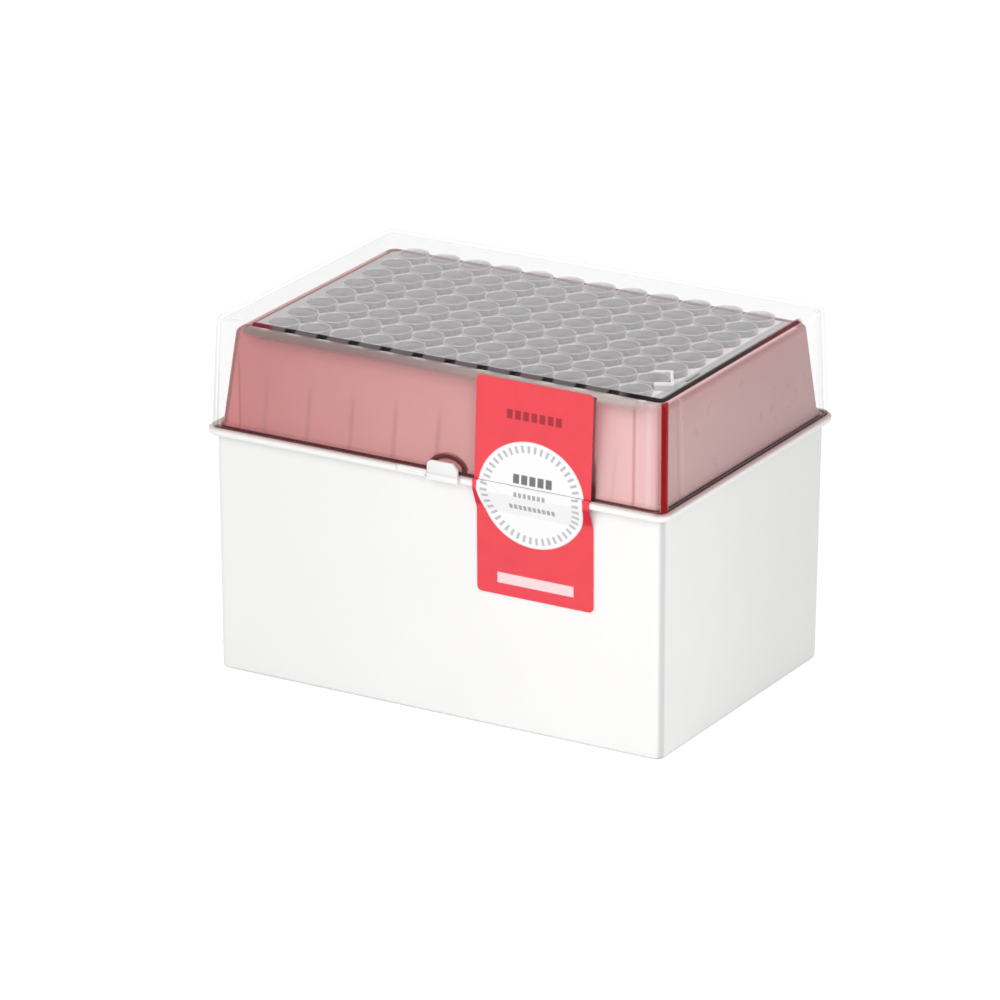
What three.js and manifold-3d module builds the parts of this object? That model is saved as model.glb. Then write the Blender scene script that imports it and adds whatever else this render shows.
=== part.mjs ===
/**
 * Hinged rack box for capillary-and-piston pipette tips.
 *
 * A white base with a flanged rim, a tinted tray that hangs in its mouth, a punched grey plate in the
 * tray's top that carries 8 rows of 12 tips, a clear lid hinged along the back edge, and a seal label
 * in two halves that meet at the parting line between lid and base.
 *
 * Units are millimetres, +Z is up, -Y is the front with the latch and the label, +X is to the right.
 * Every size is built outwards from the tip grid: grid -> plate -> tray -> lid -> rim -> base.
 */
import * as THREE from 'three';
import { mergeVertices } from 'three/addons/utils/BufferGeometryUtils.js';
import Module from 'manifold-3d';

// ---- Tip grid -------------------------------------------------------------------------------------
const COLUMNS = 12;
const ROWS = 8;
const PITCH = 9.0; // the laboratory standard spacing

// ---- Tip: a capillary with a flared collar, closed by the head of its piston ------------------------
const TIP_LENGTH = 76.2; // collar rim to capillary end
const COLLAR_GAP = 0.6; // between the rims of neighbouring collars
const COLLAR_FLARE = 0.3; // how much narrower the collar's foot is
const COLLAR_RISE = 1.8; // collar rim above the plate
const COLLAR_LIP = 0.6; // width of the rim
const PISTON_DROP = 0.8; // piston head below the collar rim
const BARREL_RADIUS = 2.6;
const TAPER_LENGTH = 34; // conical end of the capillary
const NOZZLE_RADIUS = 0.8;
const COLLAR_SIDES = 8;
const BARREL_SIDES = 6;

// ---- Plate that the tips hang in --------------------------------------------------------------------
const END_BAND = 4.15; // plate beyond the outermost collars, at the ends and along the sides
const SIDE_BAND = 0.25;
const PLATE_THICKNESS = 2.4;
const PLATE_CORNER = 1.6;
const PLATE_GAP = 0.3; // running gap to the tray's pocket
const PLATE_RECESS = 0.2; // plate top below the tray's top edge
const KEY_MARK_ROW = 1; // raised bracket round the last collar of this row, counted from the front
const KEY_MARK_TURN = Math.PI / 6;
const KEY_MARK_REACH = 0.7; // beyond the collar
const KEY_MARK_LINE = 0.8;
const KEY_MARK_RISE = 0.15; // above the collar rims
const SLOT_ROW = 2; // grip slot through the plate beside the last collar of this row
const SLOT_LENGTH = 7.2;
const SLOT_WIDTH = 0.9;
const SLOT_INSET = 2.4; // from the plate's end

// ---- Tinted tray ------------------------------------------------------------------------------------
const TRAY_RISE = 24.8; // tray top above the rim
const TRAY_WALL = 1.5;
const TRAY_EDGE = 0.45; // flat left around the plate's pocket
const SHOULDER = 1.8; // radius of the tray's top edges
const SHOULDER_STEPS = 4;
const TRAY_SPLAY_X = 1.7; // how far each wall leans out at its foot
const TRAY_SPLAY_Y = 3.2;
const TRAY_CORNER = 3.0;
const BARREL_CLEARANCE = 0.4; // between the ledges along the long walls and the outermost capillaries
const LEDGE_THICKNESS = 1.4;
const FLANGE_STEP = 0.5; // flange beyond the wall's foot
const FLANGE_THICKNESS = 1.2;
const SPIGOT_DEPTH = 6.0; // part of the tray inside the base's mouth
const SPIGOT_WALL = 1.3;
const RIB_PITCH = 12.25;
const RIB_COUNT = 9;
const RIB_THICKNESS = 1.0;
const RIB_DEPTH = 2.0;
const RIB_TOP = 13; // rib top above the rim
const POST_INSET_X = 8.2; // full-height ribs near the corners, from the wall's outer foot
const POST_INSET_Y = 8.8;

// ---- Clear lid --------------------------------------------------------------------------------------
const LID_WALL = 1.0;
const LID_GAP = 0.4; // between the tray's flange and the lid
const LID_SEAT = 0.2; // lid edge above the rim
const LID_HEADROOM = 1.2; // above the collars
const LID_DRAFT_X = 0.8;
const LID_DRAFT_Y = 1.2;
const LID_CORNER = 2.4;
const LID_TOP_RADIUS = 1.8;
const LID_TOP_STEPS = 4;

// ---- White base -------------------------------------------------------------------------------------
const TIP_CLEARANCE = 11.6; // between the capillaries' ends and the floor
const BASE_WALL = 1.4;
const FLOOR_THICKNESS = 2.0;
const FOOT_DEPTH = 0.8; // the floor stands on a raised border
const FOOT_BAND = 4.0;
const FOOT_CHAMFER = 0.6;
const BASE_DRAFT_X = 0.3;
const BASE_DRAFT_Y = 1.0;
const BASE_CORNER = 2.2;
const RIM_LEDGE = 1.0; // rim beyond the lid
const RIM_THICKNESS = 1.9;
const RIM_OVERHANG_X = 2.0; // rim beyond the base wall
const RIM_OVERHANG_Y = 2.2;
const RIM_CORNER = 3.6;
const RIM_BEVEL = 0.5;

// ---- Latch on the front rim: a shallow thumb recess beside a flexing tab ----------------------------
const TAB_CENTER = 3.5;
const TAB_WIDTH = 8.6;
const TAB_RISE = 3.1; // above the rim
const TAB_THICKNESS = 0.9;
const TAB_PROUD = 0.3; // beyond the rim's front face
const TAB_CORNER = 1.4; // round left corner
const TAB_SLANT_WIDTH = 1.5; // cut-off right corner
const TAB_SLANT_HEIGHT = 2.3;
const SLIT_WIDTH = 0.8; // relief slit on each side of the tab
const SLIT_DEPTH = 1.6;
const RECESS_WIDTH = 7.2;
const RECESS_DEPTH = 0.9;
const NICK_WIDTH = 0.8; // small nick where the recess ends
const HOOD_MARGIN = 0.7; // arched hood on the tray, larger than the tab in front of it
const HOOD_THICKNESS = 1.2;
const HOOD_PROUD = 0.3; // beyond the tray's wall at its foot
const HOOD_STEPS = 10;

// ---- Hinge ------------------------------------------------------------------------------------------
const HINGE_UP = 0.8; // axis above the rim's top
const HINGE_SPACING = 76; // between the two knuckle groups
const LUG_WALL = 1.05; // round the bore
const LUG_WIDTH = 3.0;
const PIN_RADIUS = 1.25;
const HINGE_CLEARANCE = 0.3;
const ARM_WALL = 1.05; // round the pin
const ARM_WIDTH = 8.0;
const HINGE_STEPS = 8;

// ---- Seal label -------------------------------------------------------------------------------------
const LABEL_CENTER = 28.25;
const LABEL_WIDTH = 32.3;
const LABEL_BELOW_RIM = 29.0; // lower end below the rim's top
const LABEL_TOP_DROP = 1.9; // upper end below the lid's top
const LABEL_THICKNESS = 0.3;
const LABEL_GAP = 0.1; // layer of glue
const LABEL_SPLIT = 0.5; // perforated line between the halves, along the lid's foot
const LABEL_CORNER = 1.2;
const LABEL_LANDING = 5.6; // where the label meets the base wall, below the rim

// ---- Facets -----------------------------------------------------------------------------------------
const CORNER_STEPS = 6;
const OVERCUT = 1.0; // cutters pass the faces they cut by this much

// ---- Worked out from the sizes above ----------------------------------------------------------------
const gridHalfX = ((COLUMNS - 1) / 2) * PITCH;
const gridHalfY = ((ROWS - 1) / 2) * PITCH;
const collarRadius = (PITCH - COLLAR_GAP) / 2;
const plate = grow({ x: gridHalfX, y: gridHalfY }, collarRadius + END_BAND, collarRadius + SIDE_BAND);
const pocket = grow(plate, PLATE_GAP);
const ledgeOpening = { x: pocket.x, y: gridHalfY + BARREL_RADIUS + BARREL_CLEARANCE };
const trayTop = grow(pocket, TRAY_EDGE);
const shoulder = grow(trayTop, SHOULDER);
const trayFoot = grow(shoulder, TRAY_SPLAY_X, TRAY_SPLAY_Y);
const flange = grow(trayFoot, FLANGE_STEP);
const lidInnerFoot = grow(flange, LID_GAP);
const lidFoot = grow(lidInnerFoot, LID_WALL);
const lidTop = grow(lidFoot, -LID_DRAFT_X, -LID_DRAFT_Y);
const rim = grow(lidFoot, RIM_LEDGE);
const baseTop = grow(rim, -RIM_OVERHANG_X, -RIM_OVERHANG_Y);
const baseFoot = grow(baseTop, -BASE_DRAFT_X, -BASE_DRAFT_Y);
const mouth = grow(baseTop, -BASE_WALL);
const spigot = grow(mouth, -PLATE_GAP);

const floorZ = FOOT_DEPTH + FLOOR_THICKNESS;
const collarZ = floorZ + TIP_CLEARANCE + TIP_LENGTH;
const plateTopZ = collarZ - COLLAR_RISE;
const plateBottomZ = plateTopZ - PLATE_THICKNESS;
const ledgeZ = plateBottomZ; // the plate rests on the ledge
const trayTopZ = plateTopZ + PLATE_RECESS;
const shoulderZ = trayTopZ - SHOULDER;
const rimTopZ = trayTopZ - TRAY_RISE;
const rimBottomZ = rimTopZ - RIM_THICKNESS;
const flangeZ = rimTopZ + FLANGE_THICKNESS;
const lidFootZ = rimTopZ + LID_SEAT;
const lidTopZ = collarZ + LID_HEADROOM + LID_WALL;
const armRadius = PIN_RADIUS + ARM_WALL;
const lugRadius = PIN_RADIUS + HINGE_CLEARANCE + LUG_WALL;
const hingeY = rim.y + armRadius + HINGE_CLEARANCE;
const hingeZ = rimTopZ + HINGE_UP;
const hood = { x: TAB_WIDTH / 2 + HOOD_MARGIN, z: TAB_RISE + HOOD_MARGIN };
const labelFace = LABEL_GAP + LABEL_THICKNESS;
const frontReach = rim.y + Math.max(labelFace, TAB_PROUD);
const backReach = hingeY + lugRadius;

const wasm = await Module();
wasm.setup();

// ---- Small helpers ----------------------------------------------------------------------------------

/** A half size grown (or shrunk) on each side. */
function grow(half, byX, byY = byX) {
  return { x: half.x + byX, y: half.y + byY };
}

/** Linear blend of two half sizes. */
function blend(a, b, share) {
  return { x: THREE.MathUtils.lerp(a.x, b.x, share), y: THREE.MathUtils.lerp(a.y, b.y, share) };
}

/** The points of a rectangle with rounded corners, anticlockwise. */
function roundedLoop(half, radius) {
  const centers = [[1, 1], [-1, 1], [-1, -1], [1, -1]];
  return centers.flatMap(([sideX, sideY], corner) => {
    const arc = new THREE.EllipseCurve(
      sideX * (half.x - radius), sideY * (half.y - radius), radius, radius,
      (corner * Math.PI) / 2, ((corner + 1) * Math.PI) / 2,
    );
    return arc.getPoints(CORNER_STEPS);
  });
}

/** One level of a loft: a rounded rectangle at height z. */
function level(z, half, radius) {
  return { z, loop: roundedLoop(half, radius) };
}

/** A closed body skinned through levels from bottom to top. */
function loft(levels) {
  const size = levels[0].loop.length;
  const positions = levels.flatMap(({ z, loop }) => loop.flatMap((point) => [point.x, point.y, z]));
  const indices = [];
  for (let floor = 0; floor < levels.length - 1; floor += 1) {
    for (let i = 0; i < size; i += 1) {
      const next = (i + 1) % size;
      const low = floor * size;
      const high = low + size;
      indices.push(low + i, low + next, high + next, low + i, high + next, high + i);
    }
  }
  const top = (levels.length - 1) * size;
  for (let i = 1; i < size - 1; i += 1) {
    indices.push(0, i + 1, i, top, top + i, top + i + 1);
  }
  const geometry = new THREE.BufferGeometry();
  geometry.setAttribute('position', new THREE.Float32BufferAttribute(positions, 3));
  geometry.setIndex(indices);
  return geometry;
}

/** A rectangular block between two corners. */
function block(low, high) {
  const size = high.map((value, axis) => value - low[axis]);
  const center = high.map((value, axis) => (value + low[axis]) / 2);
  return new THREE.BoxGeometry(...size).translate(...center);
}

/** An outline drawn in Y and Z, extruded from x0 to x1. */
function extrudeAlongX(shape, x0, x1, curveSegments = HINGE_STEPS) {
  const geometry = new THREE.ExtrudeGeometry(shape, {
    depth: x1 - x0, bevelEnabled: false, curveSegments,
  });
  const axes = new THREE.Matrix4().makeBasis(
    new THREE.Vector3(0, 1, 0), new THREE.Vector3(0, 0, 1), new THREE.Vector3(1, 0, 0),
  );
  return geometry.applyMatrix4(axes).translate(x0, 0, 0);
}

/** An outline drawn in X and Z, extruded from y0 towards the front by depth. */
function extrudeToFront(shape, y0, depth, curveSegments = HINGE_STEPS) {
  const geometry = new THREE.ExtrudeGeometry(shape, { depth, bevelEnabled: false, curveSegments });
  const axes = new THREE.Matrix4().makeBasis(
    new THREE.Vector3(1, 0, 0), new THREE.Vector3(0, 0, 1), new THREE.Vector3(0, -1, 0),
  );
  return geometry.applyMatrix4(axes).translate(0, y0, 0);
}

/** A closed outline through points, in order. */
function polygon(points) {
  return new THREE.Shape(points.map(([x, y]) => new THREE.Vector2(x, y)));
}

/** A rectangle whose top (or bottom) corners alone are rounded. */
function tongue(x0, x1, low, high, radius, roundTop) {
  const shape = new THREE.Shape();
  if (roundTop) {
    shape.moveTo(x0, low).lineTo(x1, low).lineTo(x1, high - radius);
    shape.absarc(x1 - radius, high - radius, radius, 0, Math.PI / 2);
    shape.absarc(x0 + radius, high - radius, radius, Math.PI / 2, Math.PI);
  } else {
    shape.moveTo(x1, high).lineTo(x0, high).lineTo(x0, low + radius);
    shape.absarc(x0 + radius, low + radius, radius, Math.PI, 1.5 * Math.PI);
    shape.absarc(x1 - radius, low + radius, radius, 1.5 * Math.PI, 2 * Math.PI);
  }
  shape.closePath();
  return shape;
}

/** A geometry as a solid that can be joined and cut. */
function solid(geometry) {
  const bare = geometry.clone();
  bare.deleteAttribute('normal');
  bare.deleteAttribute('uv');
  const merged = mergeVertices(bare, 1e-5);
  return new wasm.Manifold(new wasm.Mesh({
    numProp: 3,
    vertProperties: new Float32Array(merged.attributes.position.array),
    triVerts: new Uint32Array(merged.index.array),
  }));
}

/** The union of geometries. */
function union(geometries) {
  return geometries.map(solid).reduce((joined, next) => joined.add(next));
}

/** A joined and cut solid as a geometry again. */
function toGeometry(body) {
  const { vertProperties, triVerts } = body.getMesh();
  const geometry = new THREE.BufferGeometry();
  geometry.setAttribute('position', new THREE.BufferAttribute(vertProperties, 3));
  geometry.setIndex(new THREE.BufferAttribute(triVerts, 1));
  geometry.computeVertexNormals();
  return geometry;
}

/** A named sub-part with its own finish. */
function part(name, body, finish) {
  const mesh = new THREE.Mesh(toGeometry(body), new THREE.MeshStandardMaterial(finish));
  mesh.name = name;
  return mesh;
}

/** Outer half size of the lid's wall at height z. */
function lidHalfAt(z) {
  return blend(lidFoot, lidTop, (z - lidFootZ) / (lidTopZ - lidFootZ));
}

/** Outer half size of the base's wall at height z. */
function baseHalfAt(z) {
  return blend(baseFoot, baseTop, z / rimBottomZ);
}

/** Outer half size of the tray's wall at height z. */
function trayHalfAt(z) {
  return blend(trayFoot, shoulder, (z - flangeZ) / (shoulderZ - flangeZ));
}

/** Levels that turn a wall into a flat top along a quarter round. */
function quarterRound(half, z, radius, corner, steps) {
  return Array.from({ length: steps }, (_, i) => {
    const angle = ((i + 1) / steps) * (Math.PI / 2);
    const inset = radius * (1 - Math.cos(angle));
    return level(z + radius * Math.sin(angle), grow(half, -inset), Math.max(corner - inset, 0.4));
  });
}

// ---- Base -------------------------------------------------------------------------------------------

/** Centres of the two knuckle groups. */
function hingeCenters() {
  return [-HINGE_SPACING / 2, HINGE_SPACING / 2];
}

/** The two drilled lugs on each side of one lid arm. */
function hingeLugs(center) {
  const inner = ARM_WIDTH / 2 + HINGE_CLEARANCE;
  const shape = new THREE.Shape();
  const root = rim.y - RIM_BEVEL;
  shape.moveTo(root, rimBottomZ).lineTo(hingeY, rimBottomZ);
  shape.absarc(hingeY, hingeZ, lugRadius, -Math.PI / 2, Math.PI);
  shape.lineTo(rim.y, rimTopZ).lineTo(root, rimTopZ).closePath();
  const bore = new THREE.Path();
  bore.absarc(hingeY, hingeZ, PIN_RADIUS + HINGE_CLEARANCE, 0, 2 * Math.PI);
  shape.holes.push(bore);
  return [-1, 1].map((side) => {
    const near = center + side * inner;
    const far = near + side * LUG_WIDTH;
    return extrudeAlongX(shape, Math.min(near, far), Math.max(near, far));
  });
}

/** The upright tongue that the thumb pushes, joined to the rim's front. */
function latchTab() {
  const left = TAB_CENTER - TAB_WIDTH / 2;
  const right = TAB_CENTER + TAB_WIDTH / 2;
  const top = rimTopZ + TAB_RISE;
  const shape = new THREE.Shape();
  shape.moveTo(left, rimBottomZ).lineTo(right, rimBottomZ).lineTo(right, top - TAB_SLANT_HEIGHT);
  shape.lineTo(right - TAB_SLANT_WIDTH, top);
  shape.absarc(left + TAB_CORNER, top - TAB_CORNER, TAB_CORNER, Math.PI / 2, Math.PI);
  shape.closePath();
  return extrudeToFront(shape, -(rim.y + TAB_PROUD - TAB_THICKNESS), TAB_THICKNESS);
}

/** Relief slits beside the tab, the thumb recess and the nick at its far end. */
function latchCutters() {
  const front = -(rim.y + OVERCUT);
  const low = rimBottomZ - OVERCUT;
  const high = rimTopZ + OVERCUT;
  const left = TAB_CENTER - TAB_WIDTH / 2;
  const right = TAB_CENTER + TAB_WIDTH / 2;
  const recess = left - SLIT_WIDTH - RECESS_WIDTH;
  const behindRecess = -(rim.y - RECESS_DEPTH);
  const behindSlit = -(rim.y - SLIT_DEPTH);
  return [
    block([right, front, low], [right + SLIT_WIDTH, behindSlit, high]),
    block([left - SLIT_WIDTH, front, low], [left, behindSlit, high]),
    block([recess, front, rimTopZ - RIM_THICKNESS / 2], [left, behindRecess, high]),
    block([recess - NICK_WIDTH, front, low], [recess, behindRecess, high]),
  ];
}

/** The moulded base: drafted walls, flanged rim, hinge lugs and latch. */
function baseBox() {
  const bottomCorner = BASE_CORNER - BASE_WALL / 2;
  const outer = loft([
    level(0, grow(baseFoot, -FOOT_CHAMFER), BASE_CORNER),
    level(FOOT_CHAMFER, baseFoot, BASE_CORNER),
    level(rimBottomZ, baseTop, BASE_CORNER),
    level(rimBottomZ, grow(rim, -RIM_BEVEL), RIM_CORNER - RIM_BEVEL),
    level(rimBottomZ + RIM_BEVEL, rim, RIM_CORNER),
    level(rimTopZ, rim, RIM_CORNER),
  ]);
  const cavity = loft([
    level(floorZ, grow(baseFoot, -2 * BASE_WALL), bottomCorner),
    level(floorZ + BASE_WALL, grow(baseHalfAt(floorZ), -BASE_WALL), bottomCorner),
    level(rimBottomZ, mouth, bottomCorner),
    level(rimTopZ + OVERCUT, mouth, bottomCorner),
  ]);
  const underside = loft([
    level(-OVERCUT, grow(baseFoot, -FOOT_BAND), BASE_CORNER),
    level(FOOT_DEPTH, grow(baseFoot, -FOOT_BAND), BASE_CORNER),
  ]);
  const shell = solid(outer).subtract(solid(cavity)).subtract(solid(underside));
  const cut = shell.subtract(union(latchCutters()));
  return cut.add(union([latchTab(), ...hingeCenters().flatMap(hingeLugs)]));
}

// ---- Tray -------------------------------------------------------------------------------------------

/** Positions of the ribs along the long walls, with the full-height posts near the corners. */
function ribPlaces() {
  const ribs = Array.from({ length: RIB_COUNT }, (_, i) => (i - (RIB_COUNT - 1) / 2) * RIB_PITCH);
  const post = trayFoot.x - POST_INSET_X;
  return [
    ...ribs.map((x) => ({ x, top: rimTopZ + RIB_TOP })),
    { x: -post, top: ledgeZ - LEDGE_THICKNESS },
    { x: post, top: ledgeZ - LEDGE_THICKNESS },
  ];
}

/** Upright ribs on the inside of the four walls; they reach through the wall and are trimmed to it. */
function trayRibs() {
  const bottom = rimTopZ - SPIGOT_DEPTH;
  const half = RIB_THICKNESS / 2;
  const longWall = ribPlaces().flatMap(({ x, top }) => {
    const inner = trayHalfAt(top).y - TRAY_WALL - RIB_DEPTH;
    return [
      block([x - half, -trayFoot.y, bottom], [x + half, -inner, top]),
      block([x - half, inner, bottom], [x + half, trayFoot.y, top]),
    ];
  });
  const top = ledgeZ - LEDGE_THICKNESS;
  const inner = trayHalfAt(top).x - TRAY_WALL - RIB_DEPTH;
  const post = trayFoot.y - POST_INSET_Y;
  const endWall = [-post, post].flatMap((y) => [
    block([-trayFoot.x, y - half, bottom], [-inner, y + half, top]),
    block([inner, y - half, bottom], [trayFoot.x, y + half, top]),
  ]);
  return [...longWall, ...endWall];
}

/** The arched hood that bridges the latch tab at the wall's foot. */
function latchHood() {
  const shape = new THREE.Shape();
  const half = HOOD_THICKNESS / 2;
  shape.absellipse(TAB_CENTER, rimTopZ, hood.x + half, hood.z + half, 0, Math.PI);
  shape.absellipse(TAB_CENTER, rimTopZ, hood.x - half, hood.z - half, Math.PI, 0, true);
  shape.closePath();
  const back = -(trayHalfAt(rimTopZ + hood.z).y - TRAY_WALL / 2);
  return extrudeToFront(shape, back, trayFoot.y + HOOD_PROUD + back, HOOD_STEPS);
}

/** The tinted tray: spigot, flange, leaning walls, rounded shoulder and the pocket for the plate. */
function tipTray() {
  const spigotBottom = rimTopZ - SPIGOT_DEPTH;
  const inside = TRAY_CORNER - TRAY_WALL;
  const outer = solid(loft([
    level(spigotBottom, spigot, inside),
    level(rimTopZ, spigot, inside),
    level(rimTopZ, flange, TRAY_CORNER),
    level(flangeZ, flange, TRAY_CORNER),
    level(flangeZ, trayFoot, TRAY_CORNER),
    level(shoulderZ, shoulder, TRAY_CORNER),
    ...quarterRound(shoulder, shoulderZ, SHOULDER, TRAY_CORNER, SHOULDER_STEPS),
  ]));
  const underLedge = ledgeZ - LEDGE_THICKNESS;
  const cavity = loft([
    level(spigotBottom - OVERCUT, grow(spigot, -SPIGOT_WALL), inside),
    level(rimTopZ, grow(spigot, -SPIGOT_WALL), inside),
    level(flangeZ, grow(trayFoot, -TRAY_WALL), inside),
    level(underLedge, grow(trayHalfAt(underLedge), -TRAY_WALL), inside),
    level(underLedge, ledgeOpening, PLATE_CORNER),
    level(ledgeZ, ledgeOpening, PLATE_CORNER),
    level(ledgeZ, pocket, PLATE_CORNER),
    level(trayTopZ + OVERCUT, pocket, PLATE_CORNER),
  ]);
  const ribs = union(trayRibs()).intersect(outer);
  return outer.subtract(solid(cavity)).add(ribs).add(solid(latchHood()));
}

// ---- Plate and tips ---------------------------------------------------------------------------------

/** One capillary below the plate. */
function barrel() {
  const end = collarZ - TIP_LENGTH;
  const profile = [
    [0, end], [NOZZLE_RADIUS, end], [BARREL_RADIUS, end + TAPER_LENGTH],
    [BARREL_RADIUS, plateBottomZ + PLATE_THICKNESS / 2], [0, plateBottomZ + PLATE_THICKNESS / 2],
  ];
  return turned(profile, BARREL_SIDES);
}

/** One flared collar above the plate, with the piston's head a little below its rim. */
function collar() {
  const lip = collarRadius - COLLAR_LIP;
  const profile = [
    [0, plateTopZ - PLATE_THICKNESS / 2], [collarRadius - COLLAR_FLARE, plateTopZ - PLATE_THICKNESS / 2],
    [collarRadius - COLLAR_FLARE, plateTopZ], [collarRadius, collarZ], [lip, collarZ],
    [lip, collarZ - PISTON_DROP], [0, collarZ - PISTON_DROP],
  ];
  return turned(profile, COLLAR_SIDES);
}

/** A profile of radius and height turned round the Z axis. */
function turned(profile, sides) {
  const points = profile.map(([radius, z]) => new THREE.Vector2(radius, z));
  return new THREE.LatheGeometry(points, sides).rotateX(Math.PI / 2);
}

/** The raised key: an open square bracket round one collar at the right end, turned to the front corner. */
function keyMark() {
  const outer = collarRadius + KEY_MARK_REACH;
  const inner = outer - KEY_MARK_LINE;
  const low = plateTopZ - PLATE_THICKNESS / 2;
  const top = collarZ + KEY_MARK_RISE;
  const bars = [
    block([inner, -outer, low], [outer, outer, top]),
    block([0, inner, low], [outer, outer, top]),
    block([0, -outer, low], [outer, -inner, top]),
  ];
  const y = KEY_MARK_ROW * PITCH - gridHalfY;
  return bars.map((bar) => bar.rotateZ(KEY_MARK_TURN).translate(gridHalfX, y, 0));
}

/** The grip slot through the plate near its right end. */
function gripSlot() {
  const x = plate.x - SLOT_INSET;
  const y = SLOT_ROW * PITCH - gridHalfY;
  return block(
    [x - SLOT_WIDTH / 2, y - SLOT_LENGTH / 2, plateBottomZ - OVERCUT],
    [x + SLOT_WIDTH / 2, y + SLOT_LENGTH / 2, plateTopZ + OVERCUT],
  );
}

/** The plate with its tips seated in the grid. */
function loadedPlate() {
  const sheet = solid(loft([
    level(plateBottomZ, plate, PLATE_CORNER),
    level(plateTopZ, plate, PLATE_CORNER),
  ]));
  const tip = solid(collar()).add(solid(barrel()));
  let loaded = sheet.subtract(solid(gripSlot())).add(union(keyMark()));
  for (let row = 0; row < ROWS; row += 1) {
    for (let column = 0; column < COLUMNS; column += 1) {
      const place = [column * PITCH - gridHalfX, row * PITCH - gridHalfY, 0];
      loaded = loaded.add(tip.translate(place));
    }
  }
  return loaded;
}

// ---- Lid --------------------------------------------------------------------------------------------

/** One arm from the lid's back wall to the hinge axis, with its pin through both lugs. */
function hingeArm(center) {
  const wallY = lidFoot.y - LID_WALL / 2;
  const shape = new THREE.Shape();
  const low = rimTopZ + HINGE_CLEARANCE;
  const drop = Math.asin((hingeZ - low) / armRadius);
  shape.moveTo(wallY, low);
  shape.absarc(hingeY, hingeZ, armRadius, Math.PI + drop, 2.5 * Math.PI);
  shape.lineTo(wallY, hingeZ + armRadius).closePath();
  const pin = new THREE.Shape();
  pin.absarc(hingeY, hingeZ, PIN_RADIUS, 0, 2 * Math.PI);
  const reach = ARM_WIDTH / 2 + HINGE_CLEARANCE + LUG_WIDTH;
  return [
    extrudeAlongX(shape, center - ARM_WIDTH / 2, center + ARM_WIDTH / 2),
    extrudeAlongX(pin, center - reach, center + reach),
  ];
}

/** The clear lid: a drafted, round-edged shell with two hinge arms. */
function clearLid() {
  const roundZ = lidTopZ - LID_TOP_RADIUS;
  const inside = LID_CORNER - LID_WALL;
  const outer = loft([
    level(lidFootZ, lidFoot, LID_CORNER),
    level(roundZ, lidHalfAt(roundZ), LID_CORNER),
    ...quarterRound(lidHalfAt(roundZ), roundZ, LID_TOP_RADIUS, LID_CORNER, LID_TOP_STEPS),
  ]);
  const innerRound = LID_TOP_RADIUS - LID_WALL;
  const cavity = loft([
    level(lidFootZ - OVERCUT, lidInnerFoot, inside),
    level(lidFootZ, lidInnerFoot, inside),
    level(roundZ, grow(lidHalfAt(roundZ), -LID_WALL), inside),
    ...quarterRound(grow(lidHalfAt(roundZ), -LID_WALL), roundZ, innerRound, inside, LID_TOP_STEPS),
  ]);
  const shell = solid(outer).subtract(solid(cavity));
  return shell.add(union(hingeCenters().flatMap(hingeArm)));
}

// ---- Seal label -------------------------------------------------------------------------------------

/** A strip of label between two offsets of one path, trimmed to an outline with rounded ends. */
function labelStrip(pathAt, roundTop) {
  const section = [...pathAt(LABEL_GAP), ...pathAt(labelFace).reverse()];
  const x0 = LABEL_CENTER - LABEL_WIDTH / 2;
  const x1 = LABEL_CENTER + LABEL_WIDTH / 2;
  const heights = section.map(([, z]) => z);
  const outline = tongue(x0, x1, Math.min(...heights), Math.max(...heights), LABEL_CORNER, roundTop);
  const strip = solid(extrudeAlongX(polygon(section), x0 - OVERCUT, x1 + OVERCUT));
  return strip.intersect(solid(extrudeToFront(outline, 0, frontReach + OVERCUT)));
}

/** The half of the seal on the lid. */
function labelOnLid() {
  const low = lidFootZ + LABEL_SPLIT / 2;
  const high = lidTopZ - LABEL_TOP_DROP;
  return labelStrip((offset) => [
    [-(lidHalfAt(high).y + offset), high],
    [-(lidHalfAt(low).y + offset), low],
  ], true);
}

/** The half of the seal that lies over the rim, slants back under it and runs down the base. */
function labelOnBase() {
  const landing = rimBottomZ - LABEL_LANDING;
  const low = rimTopZ - LABEL_BELOW_RIM;
  return labelStrip((offset) => [
    [-(lidFoot.y + LABEL_SPLIT), rimTopZ + offset],
    [-(rim.y + offset), rimTopZ + offset],
    [-(rim.y + offset), rimBottomZ],
    [-(baseHalfAt(landing).y + offset), landing],
    [-(baseHalfAt(low).y + offset), low],
  ], false);
}

// ---- Assembly ---------------------------------------------------------------------------------------

const rackBox = new THREE.Group();
rackBox.add(
  part('base_box', baseBox(), { color: 0xf6f6f4, roughness: 0.4, metalness: 0 }),
  part('tip_tray', tipTray(), {
    color: 0xc83a42, roughness: 0.25, metalness: 0, transparent: true, opacity: 0.6,
  }),
  part('tip_plate', loadedPlate(), { color: 0xb2b0b0, roughness: 0.4, metalness: 0 }),
  part('clear_lid', clearLid(), {
    color: 0xf4f6f6, roughness: 0.08, metalness: 0, transparent: true, opacity: 0.18,
  }),
  part('seal_label_upper', labelOnLid(), { color: 0xf05a66, roughness: 0.45, metalness: 0 }),
  part('seal_label_lower', labelOnBase(), { color: 0xf05a66, roughness: 0.45, metalness: 0 }),
);
rackBox.position.y = (frontReach - backReach) / 2;

export default rackBox;
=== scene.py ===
"""Looks of a hinged rack box for capillary-and-piston pipette tips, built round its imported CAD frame.

The frame gives places and sizes. The base, the tinted tray, the punched plate with its 96 tips, the clear
lid and the two halves of the seal label are modelled here as moulded and printed pieces, dressed with
procedural finishes, and put in front of a pale floor and soft studio lamps.
"""
import logging
import math
from contextlib import contextmanager
from dataclasses import dataclass, replace
from enum import Enum
from typing import Callable, Iterator, Sequence

import bmesh
import bpy
from mathutils import Matrix, Vector


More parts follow.
